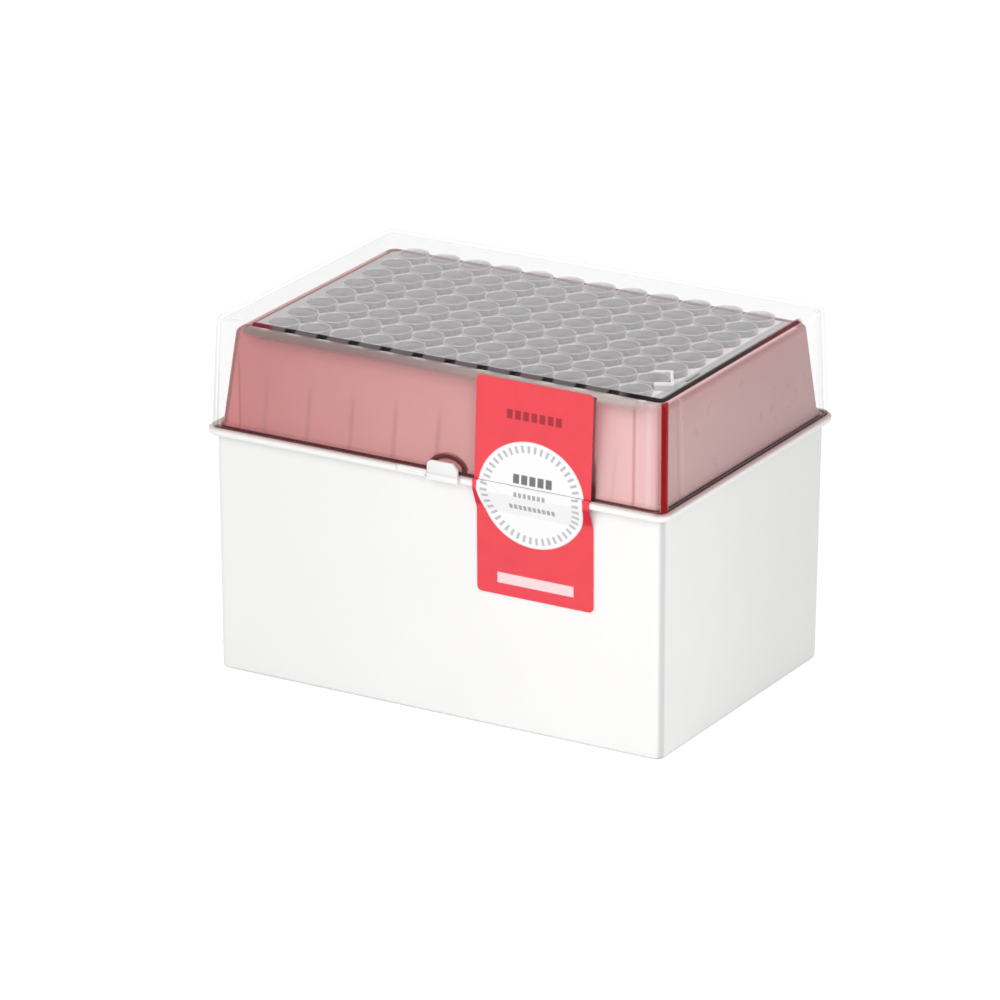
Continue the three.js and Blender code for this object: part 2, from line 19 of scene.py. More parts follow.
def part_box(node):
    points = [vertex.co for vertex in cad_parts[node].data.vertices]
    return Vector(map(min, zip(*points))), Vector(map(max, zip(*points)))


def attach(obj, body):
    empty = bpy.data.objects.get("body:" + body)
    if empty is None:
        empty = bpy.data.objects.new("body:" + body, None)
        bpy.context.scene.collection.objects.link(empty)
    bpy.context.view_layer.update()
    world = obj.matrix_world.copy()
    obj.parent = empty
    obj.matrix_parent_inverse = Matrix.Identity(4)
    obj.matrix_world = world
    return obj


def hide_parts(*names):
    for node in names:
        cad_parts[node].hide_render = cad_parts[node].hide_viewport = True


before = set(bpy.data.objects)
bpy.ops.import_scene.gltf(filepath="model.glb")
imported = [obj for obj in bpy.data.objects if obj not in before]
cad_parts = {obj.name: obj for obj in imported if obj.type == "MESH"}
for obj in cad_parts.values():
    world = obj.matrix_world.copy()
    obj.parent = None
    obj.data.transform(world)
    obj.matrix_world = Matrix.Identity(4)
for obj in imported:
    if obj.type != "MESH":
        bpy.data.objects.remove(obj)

LOG = logging.getLogger("rack_box")
MM = 0.001
PLATE_LOW, PLATE_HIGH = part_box("tip_plate")
AXIS_Y = (PLATE_LOW.y + PLATE_HIGH.y) / 2
SMOOTH_ANGLE = math.radians(35)
STACK_FOOT, STACK_STEP = 500.0, 10.0
Colour = tuple[float, float, float]
Pair = tuple[float, float]
Limits = tuple[float | None, float | None, float]
Socket = bpy.types.NodeSocket
Paint = tuple[Socket, object]
Test = Callable[[Vector], bool]


class Role(Enum):
    """What a finish is for, named as its material slot."""

    BASE = "base_plastic"
    TRAY = "tray_plastic"
    PLATE = "plate_plastic"
    LID = "lid_plastic"
    LABEL = "label_film"


class Body(Enum):
    """The two bodies that the hinge joins."""

    BOX = "box"
    LID = "lid"


class Axis(Enum):
    """Which way a rod lies."""

    X = (0.0, math.pi / 2, 0.0)
    Y = (math.pi / 2, 0.0, 0.0)
    Z = (0.0, 0.0, 0.0)


class Join(Enum):
    """How one solid is combined with another."""

    ADD = "UNION"
    CUT = "DIFFERENCE"
    TRIM = "INTERSECT"


def at(x: float, y: float, z: float) -> Vector:
    """A point given in millimetres from the box's upright axis, in the frame's metres."""
    return Vector((x * MM, AXIS_Y + y * MM, z * MM))


def srgb(red: int, green: int, blue: int) -> Colour:
    """A display colour of 0 to 255 as linear light."""

    def linear(value: int) -> float:
        """One channel."""
        share = value / 255
        return share / 12.92 if share <= 0.04045 else ((share + 0.055) / 1.055) ** 2.4

    return linear(red), linear(green), linear(blue)


# ---- Modelling -----------------------------------------------------------------------------------


@dataclass(frozen=True)
class Level:
    """One rounded rectangle of a loft: its height, half sizes and corner radius in millimetres."""

    z: float
    half_x: float
    half_y: float
    corner: float

    def inset(self, by: float, z: float) -> "Level":
        """The same outline moved inwards, at another height."""
        return Level(z, self.half_x - by, self.half_y - by, max(self.corner - by, 0.4))

    def off(self, point: Vector) -> float:
        """How far a point, in millimetres from the axis, lies from this outline."""
        straight_x, straight_y = self.half_x - self.corner, self.half_y - self.corner
        across = Vector((abs(point.x) - straight_x, abs(point.y) - straight_y))
        outside = Vector((max(across.x, 0.0), max(across.y, 0.0))).length
        return max(abs(outside + min(max(across), 0.0) - self.corner), abs(point.z - self.z))


def rounding(foot: Level, radius: float, steps: int) -> list[Level]:
    """Levels that turn a wall into a flat top along a quarter round.

    Args:
        foot: the wall's last level.
        radius: the radius of the round.
        steps: how many levels it takes.

    Returns:
        The levels above the foot.
    """
    turns = [(step + 1) / steps * math.pi / 2 for step in range(steps)]
    return [foot.inset(radius * (1 - math.cos(turn)), foot.z + radius * math.sin(turn)) for turn in turns]


class Piece:
    """One mesh on the bench, with the moves that shape it. Sizes are in millimetres from the box's axis."""

    def __init__(self, thing: bpy.types.Object, name: str) -> None:
        """Takes over a new object, with its place put into its mesh."""
        self.thing = thing
        thing.name = thing.data.name = name
        self.settle()

    # -- starts --

    @classmethod
    def block(cls, name: str, low: Sequence[float], high: Sequence[float]) -> "Piece":
        """Starts from a cube stretched between two corners."""
        bpy.ops.object.select_all(action="DESELECT")
        middle = [(a + b) / 2 for a, b in zip(low, high)]
        size = [(b - a) * MM for a, b in zip(low, high)]
        bpy.ops.mesh.primitive_cube_add(size=1, location=at(*middle), scale=size)
        return cls(bpy.context.object, name)

    @classmethod
    def rod(cls, name: str, middle: Sequence[float], radius: float, length: float, axis: Axis = Axis.Z,
            sides: int = 24) -> "Piece":
        """Starts from a cylinder.

        Args:
            name: the piece's name.
            middle: its middle.
            radius: its radius.
            length: its length.
            axis: which way it lies.
            sides: how many sides it has.

        Returns:
            The piece.
        """
        bpy.ops.object.select_all(action="DESELECT")
        bpy.ops.mesh.primitive_cylinder_add(
            vertices=sides, radius=radius * MM, depth=length * MM, location=at(*middle), rotation=axis.value
        )
        return cls(bpy.context.object, name)

    @classmethod
    def turned(cls, name: str, profile: Sequence[Pair], sides: int, hollow: bool) -> "Piece":
        """Turns a profile about the box's axis: a ring is drawn, extruded and resized for each next point.

        Args:
            name: the piece's name.
            profile: radius and height of each ring.
            sides: how many sides it has.
            hollow: whether the last ring meets the first, or both are closed with a face.

        Returns:
            The piece.
        """
        bpy.ops.object.select_all(action="DESELECT")
        radius, z = profile[0]
        bpy.ops.mesh.primitive_circle_add(vertices=sides, radius=radius * MM, location=at(0, 0, z))
        piece = cls(bpy.context.object, name)
        with piece.editing("EDGE"):
            bpy.ops.mesh.select_all(action="SELECT")
            for next_radius, next_z in profile[1:]:
                bpy.ops.mesh.extrude_region_move(
                    TRANSFORM_OT_translate={"value": (0, 0, (next_z - z) * MM)}
                )
                share = next_radius / radius
                bpy.ops.transform.resize(value=(share, share, 1), center_override=at(0, 0, next_z))
                radius, z = next_radius, next_z
            ends = [profile[0], profile[-1]]
            if hollow:
                piece.pick(lambda point: any(abs(Vector(point[:2]).length - r) < 0.02
                                             and abs(point.z - height) < 0.01 for r, height in ends))
                bpy.ops.mesh.bridge_edge_loops()
            else:
                for end_radius, height in ends:
                    piece.pick(lambda point: abs(Vector(point[:2]).length - end_radius) < 0.02
                               and abs(point.z - height) < 0.01)
                    bpy.ops.mesh.edge_face_add()
        return piece

    @classmethod
    def loft(cls, name: str, levels: Sequence[Level], ring: bool = False, segments: int = 6) -> "Piece":
        """Skins rounded rectangles: each is a plane with bevelled corners, and neighbours are bridged.
        They are stacked well apart for that, as outlines in one plane bridge wrongly, and then set to
        height.

        Args:
            name: the piece's name.
            levels: the outlines in order.
            ring: whether the last meets the first, or both are closed with a face.
            segments: steps round each corner.

        Returns:
            The piece.
        """
        stack = [level.inset(0.0, STACK_FOOT + STACK_STEP * place) for place, level in enumerate(levels)]
        bpy.ops.object.select_all(action="DESELECT")
        bpy.ops.mesh.primitive_plane_add(size=2 * MM, location=at(0, 0, stack[0].z))
        piece = cls(bpy.context.object, name)
        with piece.editing("VERT"):
            for place, level in enumerate(stack):
                if place:
                    bpy.ops.mesh.primitive_plane_add(size=2 * MM, location=at(0, 0, level.z))
                else:
                    bpy.ops.mesh.select_all(action="SELECT")
                bpy.ops.transform.resize(
                    value=(level.half_x, level.half_y, 1), center_override=at(0, 0, level.z)
                )
                bpy.ops.mesh.bevel(offset=level.corner * MM, segments=segments, affect="VERTICES")
                bpy.ops.mesh.delete(type="ONLY_FACE")
            pairs = list(zip(stack, stack[1:])) + ([(stack[-1], stack[0])] if ring else [])
            for one, two in pairs:
                piece.pick(lambda point: min(one.off(point), two.off(point)) < 0.01)
                bpy.ops.mesh.bridge_edge_loops()
            for end in () if ring else (stack[0], stack[-1]):
                piece.pick(lambda point: end.off(point) < 0.01)
                bpy.ops.mesh.edge_face_add()
            for placed, level in zip(stack, levels):
                piece.pick(lambda point: abs(point.z - placed.z) < STACK_STEP / 2)
                bpy.ops.transform.translate(value=(0, 0, (level.z - placed.z) * MM))
        piece.close()
        return piece

    # -- selection --

    def focus(self, *others: "Piece") -> None:
        """Selects this piece and any others, with this one active."""
        bpy.ops.object.select_all(action="DESELECT")
        for piece in (*others, self):
            piece.thing.select_set(True)
        bpy.context.view_layer.objects.active = self.thing

    @contextmanager
    def editing(self, kind: str) -> Iterator[None]:
        """Opens edit mode on this piece with nothing selected, in vertex, edge or face mode."""
        self.focus()
        bpy.ops.object.mode_set(mode="EDIT")
        bpy.ops.mesh.select_mode(type=kind)
        bpy.ops.mesh.select_all(action="DESELECT")
        yield
        bpy.ops.object.mode_set(mode="OBJECT")

    def pick(self, test: Test, faces: bool = False) -> None:
        """Selects, in edit mode, the vertices or faces whose place passes a test.

        Args:
            test: takes a point in millimetres from the axis.
            faces: whether faces are tested by their middle, instead of vertices.
        """
        bpy.ops.mesh.select_all(action="DESELECT")
        bpy.ops.mesh.select_mode(type="FACE" if faces else "VERT")
        mesh = bmesh.from_edit_mesh(self.thing.data)
        for item in mesh.faces if faces else mesh.verts:
            place = item.calc_center_median() if faces else item.co
            item.select_set(test(Vector((place.x, place.y - AXIS_Y, place.z)) / MM))
        mesh.select_flush_mode()
        bmesh.update_edit_mesh(self.thing.data)

    # -- moves --

    def settle(self) -> None:
        """Puts the piece's place, turn and size into its mesh."""
        self.focus()
        bpy.ops.object.transform_apply(location=True, rotation=True, scale=True)

    def close(self) -> None:
        """Merges doubled points and turns every face outwards."""
        with self.editing("VERT"):
            bpy.ops.mesh.select_all(action="SELECT")
            bpy.ops.mesh.remove_doubles(threshold=0.001 * MM)
            bpy.ops.mesh.normals_make_consistent(inside=False)

    def soften(self, width: float, segments: int = 2) -> None:
        """Rounds the sharp edges with an applied bevel."""
        self.focus()
        bevel = self.thing.modifiers.new("soft_edges", "BEVEL")
        bevel.width, bevel.segments, bevel.limit_method = width * MM, segments, "ANGLE"
        bevel.angle_limit, bevel.use_clamp_overlap = SMOOTH_ANGLE, True
        bpy.ops.object.modifier_apply(modifier=bevel.name)

    def combine(self, other: "Piece", how: Join) -> None:
        """Joins, cuts or trims this solid with another, which is used up."""
        self.focus()
        change = self.thing.modifiers.new("combine", "BOOLEAN")
        change.operation, change.object, change.solver = how.value, other.thing, "EXACT"
        bpy.ops.object.modifier_apply(modifier=change.name)
        other.remove()

    def remove(self) -> None:
        """Takes the piece off the bench."""
        self.focus()
        bpy.ops.object.delete()

    def copy(self, name: str, shift: Sequence[float]) -> "Piece":
        """A copy with its own mesh, moved by a shift."""
        self.focus()
        bpy.ops.object.duplicate(linked=False)
        bpy.ops.transform.translate(value=[step * MM for step in shift])
        return Piece(bpy.context.object, name)

    def absorb(self, others: Sequence["Piece"]) -> None:
        """Takes other pieces into this one's mesh."""
        self.focus(*others)
        bpy.ops.object.join()

    def dress(self, finish: bpy.types.Material, role: Role, body: Body, replaces: str = "") -> None:
        """Smooths the piece, gives it its finish and ties it to the frame.

        Args:
            finish: its material.
            role: the slot that the finish belongs to; not used.
            body: the body that it moves with.
            replaces: the CAD node that it stands for, if any.
        """
        self.focus()
        bpy.ops.object.shade_smooth_by_angle(angle=SMOOTH_ANGLE)
        self.thing.data.materials.clear()
        self.thing.data.materials.append(finish)
        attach(self.thing, body.value)
        if replaces:
            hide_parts(replaces)
        LOG.info("%s: %d faces, rides on %s", self.thing.name, len(self.thing.data.polygons), body.value)


# ---- Shader graphs -------------------------------------------------------------------------------


@dataclass(frozen=True)
class Zone:
    """A soft-edged part of the box: low end, high end and softness along each axis that limits it."""

    x: Limits | None = None
    y: Limits | None = None
    z: Limits | None = None


@dataclass(frozen=True)
class Layer:
    """A shade that lies over a colour in a zone, and how much of it shows."""

    shade: Colour
    zone: Zone
    strength: float = 1.0


class Graph:
    """A material's node tree, with short calls for the nodes that the finishes use. Places are in
    millimetres from the box's upright axis."""

    def __init__(self, name: str) -> None:
        """Starts an empty material."""
        self.material = bpy.data.materials.new(name)
        self.material.use_nodes = True
        self.tree = self.material.node_tree
        self.tree.nodes.clear()
        self.place = self.bench_place()
        self.x, self.y, self.z = self.axes(self.place)

    def node(self, kind: str, **values: object) -> bpy.types.Node:
        """Adds a node with some of its properties set."""
        made = self.tree.nodes.new(kind)
        for key, value in values.items():
            setattr(made, key, value)
        return made

    def feed(self, socket: Socket, value: object) -> None:
        """Links a socket to another, or sets its number or colour."""
        if isinstance(value, Socket):
            self.tree.links.new(value, socket)
        elif isinstance(value, tuple) and socket.type == "RGBA":
            socket.default_value = (*value, 1.0)
        else:
            socket.default_value = value

    def bench_place(self) -> Socket:
        """Object coordinates in millimetres from the box's axis."""
        source = self.node("ShaderNodeTexCoord").outputs["Object"]
        shift = self.node("ShaderNodeMapping")
        shift.inputs["Location"].default_value = (0, -AXIS_Y / MM, 0)
        shift.inputs["Scale"].default_value = (1 / MM, 1 / MM, 1 / MM)
        self.feed(shift.inputs["Vector"], source)
        return shift.outputs["Vector"]

    def axes(self, vector: Socket) -> tuple[Socket, Socket, Socket]:
        """The three parts of a vector."""
        split = self.node("ShaderNodeSeparateXYZ")
        self.feed(split.inputs[0], vector)
        return split.outputs[0], split.outputs[1], split.outputs[2]

    # -- numbers --

    def math(self, operation: str, *inputs: object) -> Socket:
        """A Math node fed by sockets or numbers.

        Args:
            operation: the Math node's operation.
            inputs: up to three sockets or numbers.

        Returns:
            The result's socket.
        """
        made = self.node("ShaderNodeMath", operation=operation)
        for socket, value in zip(made.inputs, inputs):
            self.feed(socket, value)
        return made.outputs[0]

    def chain(self, operation: str, *values: object) -> Socket:
        """One operation taken over all the values in turn."""
        result = values[0]
        for value in values[1:]:
            result = self.math(operation, result, value)
        return result

    def both(self, *masks: object) -> Socket:
        """Where all the masks hold; a number among them weakens or strengthens the result."""
        return self.chain("MULTIPLY", *masks)

    def either(self, *masks: object) -> Socket:
        """Where any of the masks holds."""
        return self.chain("MAXIMUM", *masks)

    def total(self, *values: object) -> Socket:
        """The sum of the values."""
        return self.chain("ADD", *values)

    def sloped(self, value: Socket, share: float, start: float) -> Socket:
        """The value times a share, plus a start."""
        return self.math("MULTIPLY_ADD", value, share, start)

    def distance(self, across: Socket, up: Socket) -> Socket:
        """How far a point lies from the origin of two coordinates."""
        return self.math("SQRT", self.total(self.both(across, across), self.both(up, up)))

    def oval(self, middle: Pair, reach: Pair) -> tuple[Socket, Socket, Socket]:
        """Coordinates on an upright oval that faces the front.

        Args:
            middle: its middle across and up.
            reach: half its width and half its height.

        Returns:
            Across and up in shares of its reach, and the distance from its middle, 1 at its outline.
        """
        axes = zip((self.x, self.z), middle, reach)
        across, up = (self.sloped(value, 1 / size, -place / size) for value, place, size in axes)
        return across, up, self.distance(across, up)

    def off_beat(self, value: Socket, pitch: float, phase: float) -> Socket:
        """Distance to the nearest of evenly spaced places.

        Args:
            value: the place.
            pitch: the spacing.
            phase: where one of them is.

        Returns:
            The distance's socket.
        """
        turns = self.sloped(value, 1 / pitch, 0.5 - phase / pitch)
        part = self.math("SUBTRACT", self.math("FRACT", turns), 0.5)
        return self.both(self.math("ABSOLUTE", part), pitch)

    def ramp(self, value: Socket, source: Pair, target: Pair, kind: str = "SMOOTHSTEP") -> Socket:
        """Carries a value from one range over to another.

        Args:
            value: the value.
            source: the range that it comes from.
            target: the range that it is carried to.
            kind: the Map Range node's interpolation.

        Returns:
            The carried value's socket.
        """
        made = self.node("ShaderNodeMapRange", interpolation_type=kind)
        self.feed(made.inputs["Value"], value)
        for name, number in zip(("From Min", "From Max", "To Min", "To Max"), (*source, *target)):
            made.inputs[name].default_value = number
        return made.outputs["Result"]

    def ranged(self, value: Socket, low: float, high: float) -> Socket:
        """Spreads a value of 0 to 1 over another range."""
        return self.ramp(value, (0.0, 1.0), (low, high), "LINEAR")

    # -- masks --

    def above(self, value: Socket, limit: float, soft: float) -> Socket:
        """A mask that goes from 0 to 1 as the value passes a limit."""
        return self.ramp(value, (limit - soft / 2, limit + soft / 2), (0.0, 1.0))

    def below(self, value: Socket, limit: float, soft: float) -> Socket:
        """A mask that goes from 1 to 0 as the value passes a limit."""
        return self.ramp(value, (limit - soft / 2, limit + soft / 2), (1.0, 0.0))

    def between(self, value: Socket, low: float, high: float, soft: float) -> Socket:
        """A mask that holds between two values."""
        return self.both(self.above(value, low, soft), self.below(value, high, soft))

    def zone(self, zone: Zone, *masks: object) -> Socket:
        """Where a zone and any further masks hold."""
        sides = []
        for value, limits in ((self.x, zone.x), (self.y, zone.y), (self.z, zone.z)):
            low, high, soft = limits or (None, None, 0.0)
            sides += [] if low is None else [self.above(value, low, soft)]
            sides += [] if high is None else [self.below(value, high, soft)]
        return self.both(*sides, *masks)

    # -- textures and colours --

    def noise(self, grain: float, detail: float = 2.0) -> Socket:
        """Noise whose features are about grain millimetres across."""
        made = self.node("ShaderNodeTexNoise")
        self.feed(made.inputs["Vector"], self.place)
        made.inputs["Scale"].default_value = 1 / grain
        made.inputs["Detail"].default_value = detail
        return made.outputs["Fac"]

    def mix(self, share: object, one: object, two: object) -> Socket:
        """A blend of two colours.

        Args:
            share: how much of the second, a socket or a number.
            one: the first colour, a socket or three numbers.
            two: the second.

        Returns:
            The blend's socket.
        """
        made = self.node("ShaderNodeMix", data_type="RGBA")
        for socket, value in zip((made.inputs[0], made.inputs[6], made.inputs[7]), (share, one, two)):
            self.feed(socket, value)
        return made.outputs[2]

    def lay(self, colour: object, shade: object, mask: Socket, strength: float = 1.0) -> Socket:
        """Lays a shade over a colour.

        Args:
            colour: what it is laid over, a socket or three numbers.
            shade: the shade, a socket or three numbers.
            mask: where it lies.
            strength: how much of it shows; more than 1 sharpens the mask's soft ends.

        Returns:
            The new colour's socket.
        """
        return self.mix(mask if strength == 1.0 else self.both(mask, strength), colour, shade)

    def coat(self, colour: object, *layers: Layer, where: object = 1.0) -> Socket:
        """Lays layers over a colour in turn, as far as a mask allows.

        Args:
            colour: what they are laid over, a socket or three numbers.
            layers: the layers.
            where: the mask, or a number.

        Returns:
            The new colour's socket.
        """
        for layer in layers:
            mask = self.zone(layer.zone, *([] if where == 1.0 else [where]))
            colour = self.lay(colour, layer.shade, mask, layer.strength)
        return colour

    def bump(self, height: Socket, depth: float, strength: float) -> Socket:
        """A normal from a height pattern of 0 to 1, which stands depth millimetres high."""
        made = self.node("ShaderNodeBump")
        made.inputs["Strength"].default_value = strength
        made.inputs["Distance"].default_value = depth * MM
        self.feed(made.inputs["Height"], height)
        return made.outputs["Normal"]

    def facing(self, power: float) -> Socket:
        """How far the surface leans away, raised to a power: the bright or dense rim of a clear wall."""
        lean = self.node("ShaderNodeLayerWeight")
        lean.inputs["Blend"].default_value = 0.5
        return self.math("POWER", lean.outputs["Facing"], power)

    # -- shaders --

    def principled(self, **values: object) -> Socket:
        """A Principled shader, with sockets set or fed by name (underscores stand for spaces)."""
        made = self.node("ShaderNodeBsdfPrincipled")
        for key, value in values.items():
            self.feed(made.inputs[key.replace("_", " ")], value)
        return made.outputs[0]

    def see_through(self, tint: Colour, solid: Socket, surface: Socket) -> Socket:
        """A surface that lets what is behind it show, tinted.

        Args:
            tint: the colour that the light takes on its way through.
            solid: how much of the surface's own shader shows.
            surface: that shader.

        Returns:
            The mixed shader's socket.
        """
        through = self.node("ShaderNodeBsdfTransparent")
        self.feed(through.inputs["Color"], tint)
        join = self.node("ShaderNodeMixShader")
        for socket, value in zip(join.inputs, (solid, through.outputs[0], surface)):
            self.feed(socket, value)
        return join.outputs[0]

    def output(self, shader: Socket) -> bpy.types.Material:
        """Ends the tree with this surface and returns the material."""
        self.feed(self.node("ShaderNodeOutputMaterial").inputs["Surface"], shader)
        return self.material


# ---- Marks ---------------------------------------------------------------------------------------


@dataclass(frozen=True)
class Skin:
    """How a plastic shines: the range of its roughness, the size and detail of the noise that spreads
    it, the size and detail of its grain, the grain's depth and strength, and how it refracts."""

    rough: Pair
    rough_noise: Pair
    grain: Pair
    depth: float
    strength: float
    ior: float = 1.49
    specular: float = 0.5

    def over(self, graph: Graph, colour: Socket) -> Socket:
        """The shader of this skin over a colour."""
        return graph.principled(
            Base_Color=colour,
            Roughness=graph.ranged(graph.noise(*self.rough_noise), *self.rough),
            IOR=self.ior,
            Specular_IOR_Level=self.specular,
            Normal=graph.bump(graph.noise(*self.grain), self.depth, self.strength),
        )


@dataclass(frozen=True)
class Stripe:
    """A soft upright stripe of painted light and shade, as a corner post behind the wall makes it: its
    middle, half its width, its shade and how much of that shows."""

    place: float
    half: float
    shade: Colour
    strength: float
    softness: float = 1.4

    def over(self, graph: Graph, value: Socket, colour: Socket) -> Socket:
        """Lays the stripe over a colour.

        Args:
            graph: the material's graph.
            value: the coordinate that its place is measured along.
            colour: what it is laid over.

        Returns:
            The new colour.
        """
        soft = self.half * self.softness
        mask = graph.between(value, self.place - self.half, self.place + self.half, soft)
        return graph.lay(colour, self.shade, mask, self.strength)


@dataclass(frozen=True)
class Arc:
    """The rounded front corner of leaning walls: the height of its foot, the middle of its round there,
    and how far the end wall and the front wall lean inwards for each millimetre of height."""

    foot: float
    middle: Pair
    lean: Pair

    def reach(self, graph: Graph, side: int = 1) -> tuple[Socket, Socket]:
        """How far a point lies from the middle of the corner's round.

        Args:
            graph: the material's graph.
            side: 1 for the right corner, -1 for the left one.

        Returns:
            The distances sideways and to the front.
        """
        rise = graph.sloped(graph.z, 1.0, -self.foot)
        across = graph.total(
            graph.sloped(graph.x, side, 0.0), graph.sloped(rise, self.lean[0], -self.middle[0])
        )
        return across, graph.math("SUBTRACT", graph.sloped(rise, self.lean[1], -self.middle[1]), graph.y)


@dataclass(frozen=True)
class Bar:
    """A printed bar: its lower left and upper right corners across and up, its ink, how much of that
    shows, and the spacing and half the length of its dashes, if it has any."""

    low: Pair
    high: Pair
    ink: Colour
    strength: float
    dashes: Pair | None = None
    soft: float = 0.3

    def over(self, graph: Graph, colour: Socket) -> Socket:
        """Prints the bar over a colour."""
        mask = graph.zone(Zone(x=(self.low[0], self.high[0], self.soft),
                               z=(self.low[1], self.high[1], self.soft)))
        if self.dashes:
            pitch, half = self.dashes
            place = graph.off_beat(graph.x, pitch, self.low[0] + pitch / 2)
            mask = graph.both(mask, graph.below(place, half, self.soft))
        return graph.lay(colour, self.ink, mask, self.strength)


# ---- Finishes ------------------------------------------------------------------------------------


@dataclass(frozen=True)
class Finish:
    """What the finishes share: a skin, and the tint of what shows through the clear ones."""

    name: str = "finish"
    skin: Skin = Skin((0.37, 0.49), (6.0, 4.0), (0.6, 1.0), 0.012, 0.35)
    through: Colour | None = None

    def paint(self, graph: Graph) -> Paint:
        """The colour, and how solid it is where something shows through."""
        raise NotImplementedError

    def material(self) -> bpy.types.Material:
        """Builds the material."""
        graph = Graph(self.name)
        colour, solid = self.paint(graph)
        surface = self.skin.over(graph, colour)
        return graph.output(graph.see_through(self.through, solid, surface) if self.through else surface)


@dataclass(frozen=True)
class MouldedPlastic(Finish):
    """Opaque moulded plastic: an even colour with slow mottling."""

    colour: Colour = srgb(240, 240, 240)
    shade: Colour = srgb(236, 236, 236)
    mottle: Pair = (22.0, 3.0)

    def paint(self, graph: Graph) -> Paint:
        """The mottled colour, all solid."""
        return graph.mix(graph.above(graph.noise(*self.mottle), 0.5, 0.5), self.colour, self.shade), 1.0


@dataclass(frozen=True)
class BasePlastic(MouldedPlastic):
    """The base's white, with painted shade: a little greyer to the left, to the back and down the near
    corner, and a warm painted shade and reflection of the red tray where the rim meets it; a little greyer at
    the tab."""

    name: str = "base_white"
    colour: Colour = srgb(251, 251, 250)
    shade: Colour = srgb(248, 248, 247)
    # painted shade: the white is a little greyer to the left
    left: Layer = Layer(srgb(243, 243, 241), Zone(x=(None, -5, 110)))
    end: Zone = Zone(x=(61.9, None, 0.8))
    # painted shade: the end wall is a little darker towards the back
    back: Layer = Layer(srgb(238, 238, 237), Zone(y=(-8, None, 90)))
    # painted shade: a grey line down the near corner's round
    edge: Layer = Layer(srgb(204, 204, 205), Zone(x=(60.4, None, 0.6), z=(None, 62.3, 0.3)), 0.7)
    corner_shade_lean: Pair = (0.0113, -21.3)
    corner_shade_span: tuple[float, float, float] = (-0.2, 2.0, 1.3)
    # painted shade and reflection of the red tray: warm and darker along the rim's top, by the lid's foot
    rim: Layer = Layer(srgb(168, 122, 120), Zone(y=(None, 44.9, 0.2), z=(63.95, 65.0, 1.2)))
    tab: Layer = Layer(
        srgb(236, 236, 236), Zone(x=(-0.9, 7.9, 0.1), y=(None, -43.9, 0.1), z=(64.2, None, 0.4))
    )

    def paint(self, graph: Graph) -> Paint:
        """The colour with its painted shade laid on from place to place, all solid."""
        colour, solid = super().paint(graph)
        end = graph.zone(self.end)
        turn = graph.total(graph.x, graph.y, graph.sloped(graph.z, *self.corner_shade_lean))
        # painted shade laid on in turn: to the left, to the back, down the near corner and along the rim
        colour = graph.coat(graph.coat(colour, self.left), self.back, where=end)
        colour = graph.coat(colour, self.edge, where=graph.between(turn, *self.corner_shade_span))
        colour = graph.coat(colour, self.rim, where=graph.sloped(end, 0.4, 0.5))
        return graph.coat(colour, self.tab), solid


@dataclass(frozen=True)
class PlatePlastic(MouldedPlastic):
    """The plate's grey, with painted light between the tips, where the clear collars send their light."""

    name: str = "plate_grey"
    skin: Skin = Skin((0.45, 0.57), (6.0, 4.0), (0.6, 1.0), 0.012, 0.35)
    colour: Colour = srgb(190, 187, 188)
    shade: Colour = srgb(182, 180, 181)
    # painted light: the plate is lighter between the tips, outside each collar
    light: Colour = srgb(246, 242, 243)
    pitch: float = 9.0
    collar: float = 4.0
    net: Zone = Zone(x=(-54.0, 54.0, 1.0), y=(-35.4, 35.4, 0.6))

    def paint(self, graph: Graph) -> Paint:
        """The grey with its painted net of light, all solid."""
        colour, solid = super().paint(graph)
        across, along = (graph.off_beat(value, self.pitch, self.pitch / 2) for value in (graph.x, graph.y))
        # painted light outside each collar's reach
        between = graph.above(graph.distance(across, along), self.collar, 0.5)
        return graph.lay(colour, self.light, graph.zone(self.net, between)), solid


@dataclass(frozen=True)
class KeyPlastic(Finish):
    """The key bracket's plastic: the plate's grey, with a white top."""

    name: str = "key_white_top"
    skin: Skin = Skin((0.38, 0.5), (4.0, 3.0), (0.6, 1.0), 0.01, 0.3)
    grey: Colour = srgb(196, 193, 194)
    white: Layer = Layer(srgb(246, 246, 245), Zone(z=(90.1, None, 0.3)))
    cloud: Colour = srgb(232, 231, 230)

    def paint(self, graph: Graph) -> Paint:
        """The grey and the white, slightly clouded, all solid."""
        return graph.lay(graph.coat(self.grey, self.white), self.cloud, graph.noise(3.0, 3.0), 0.2), 1.0


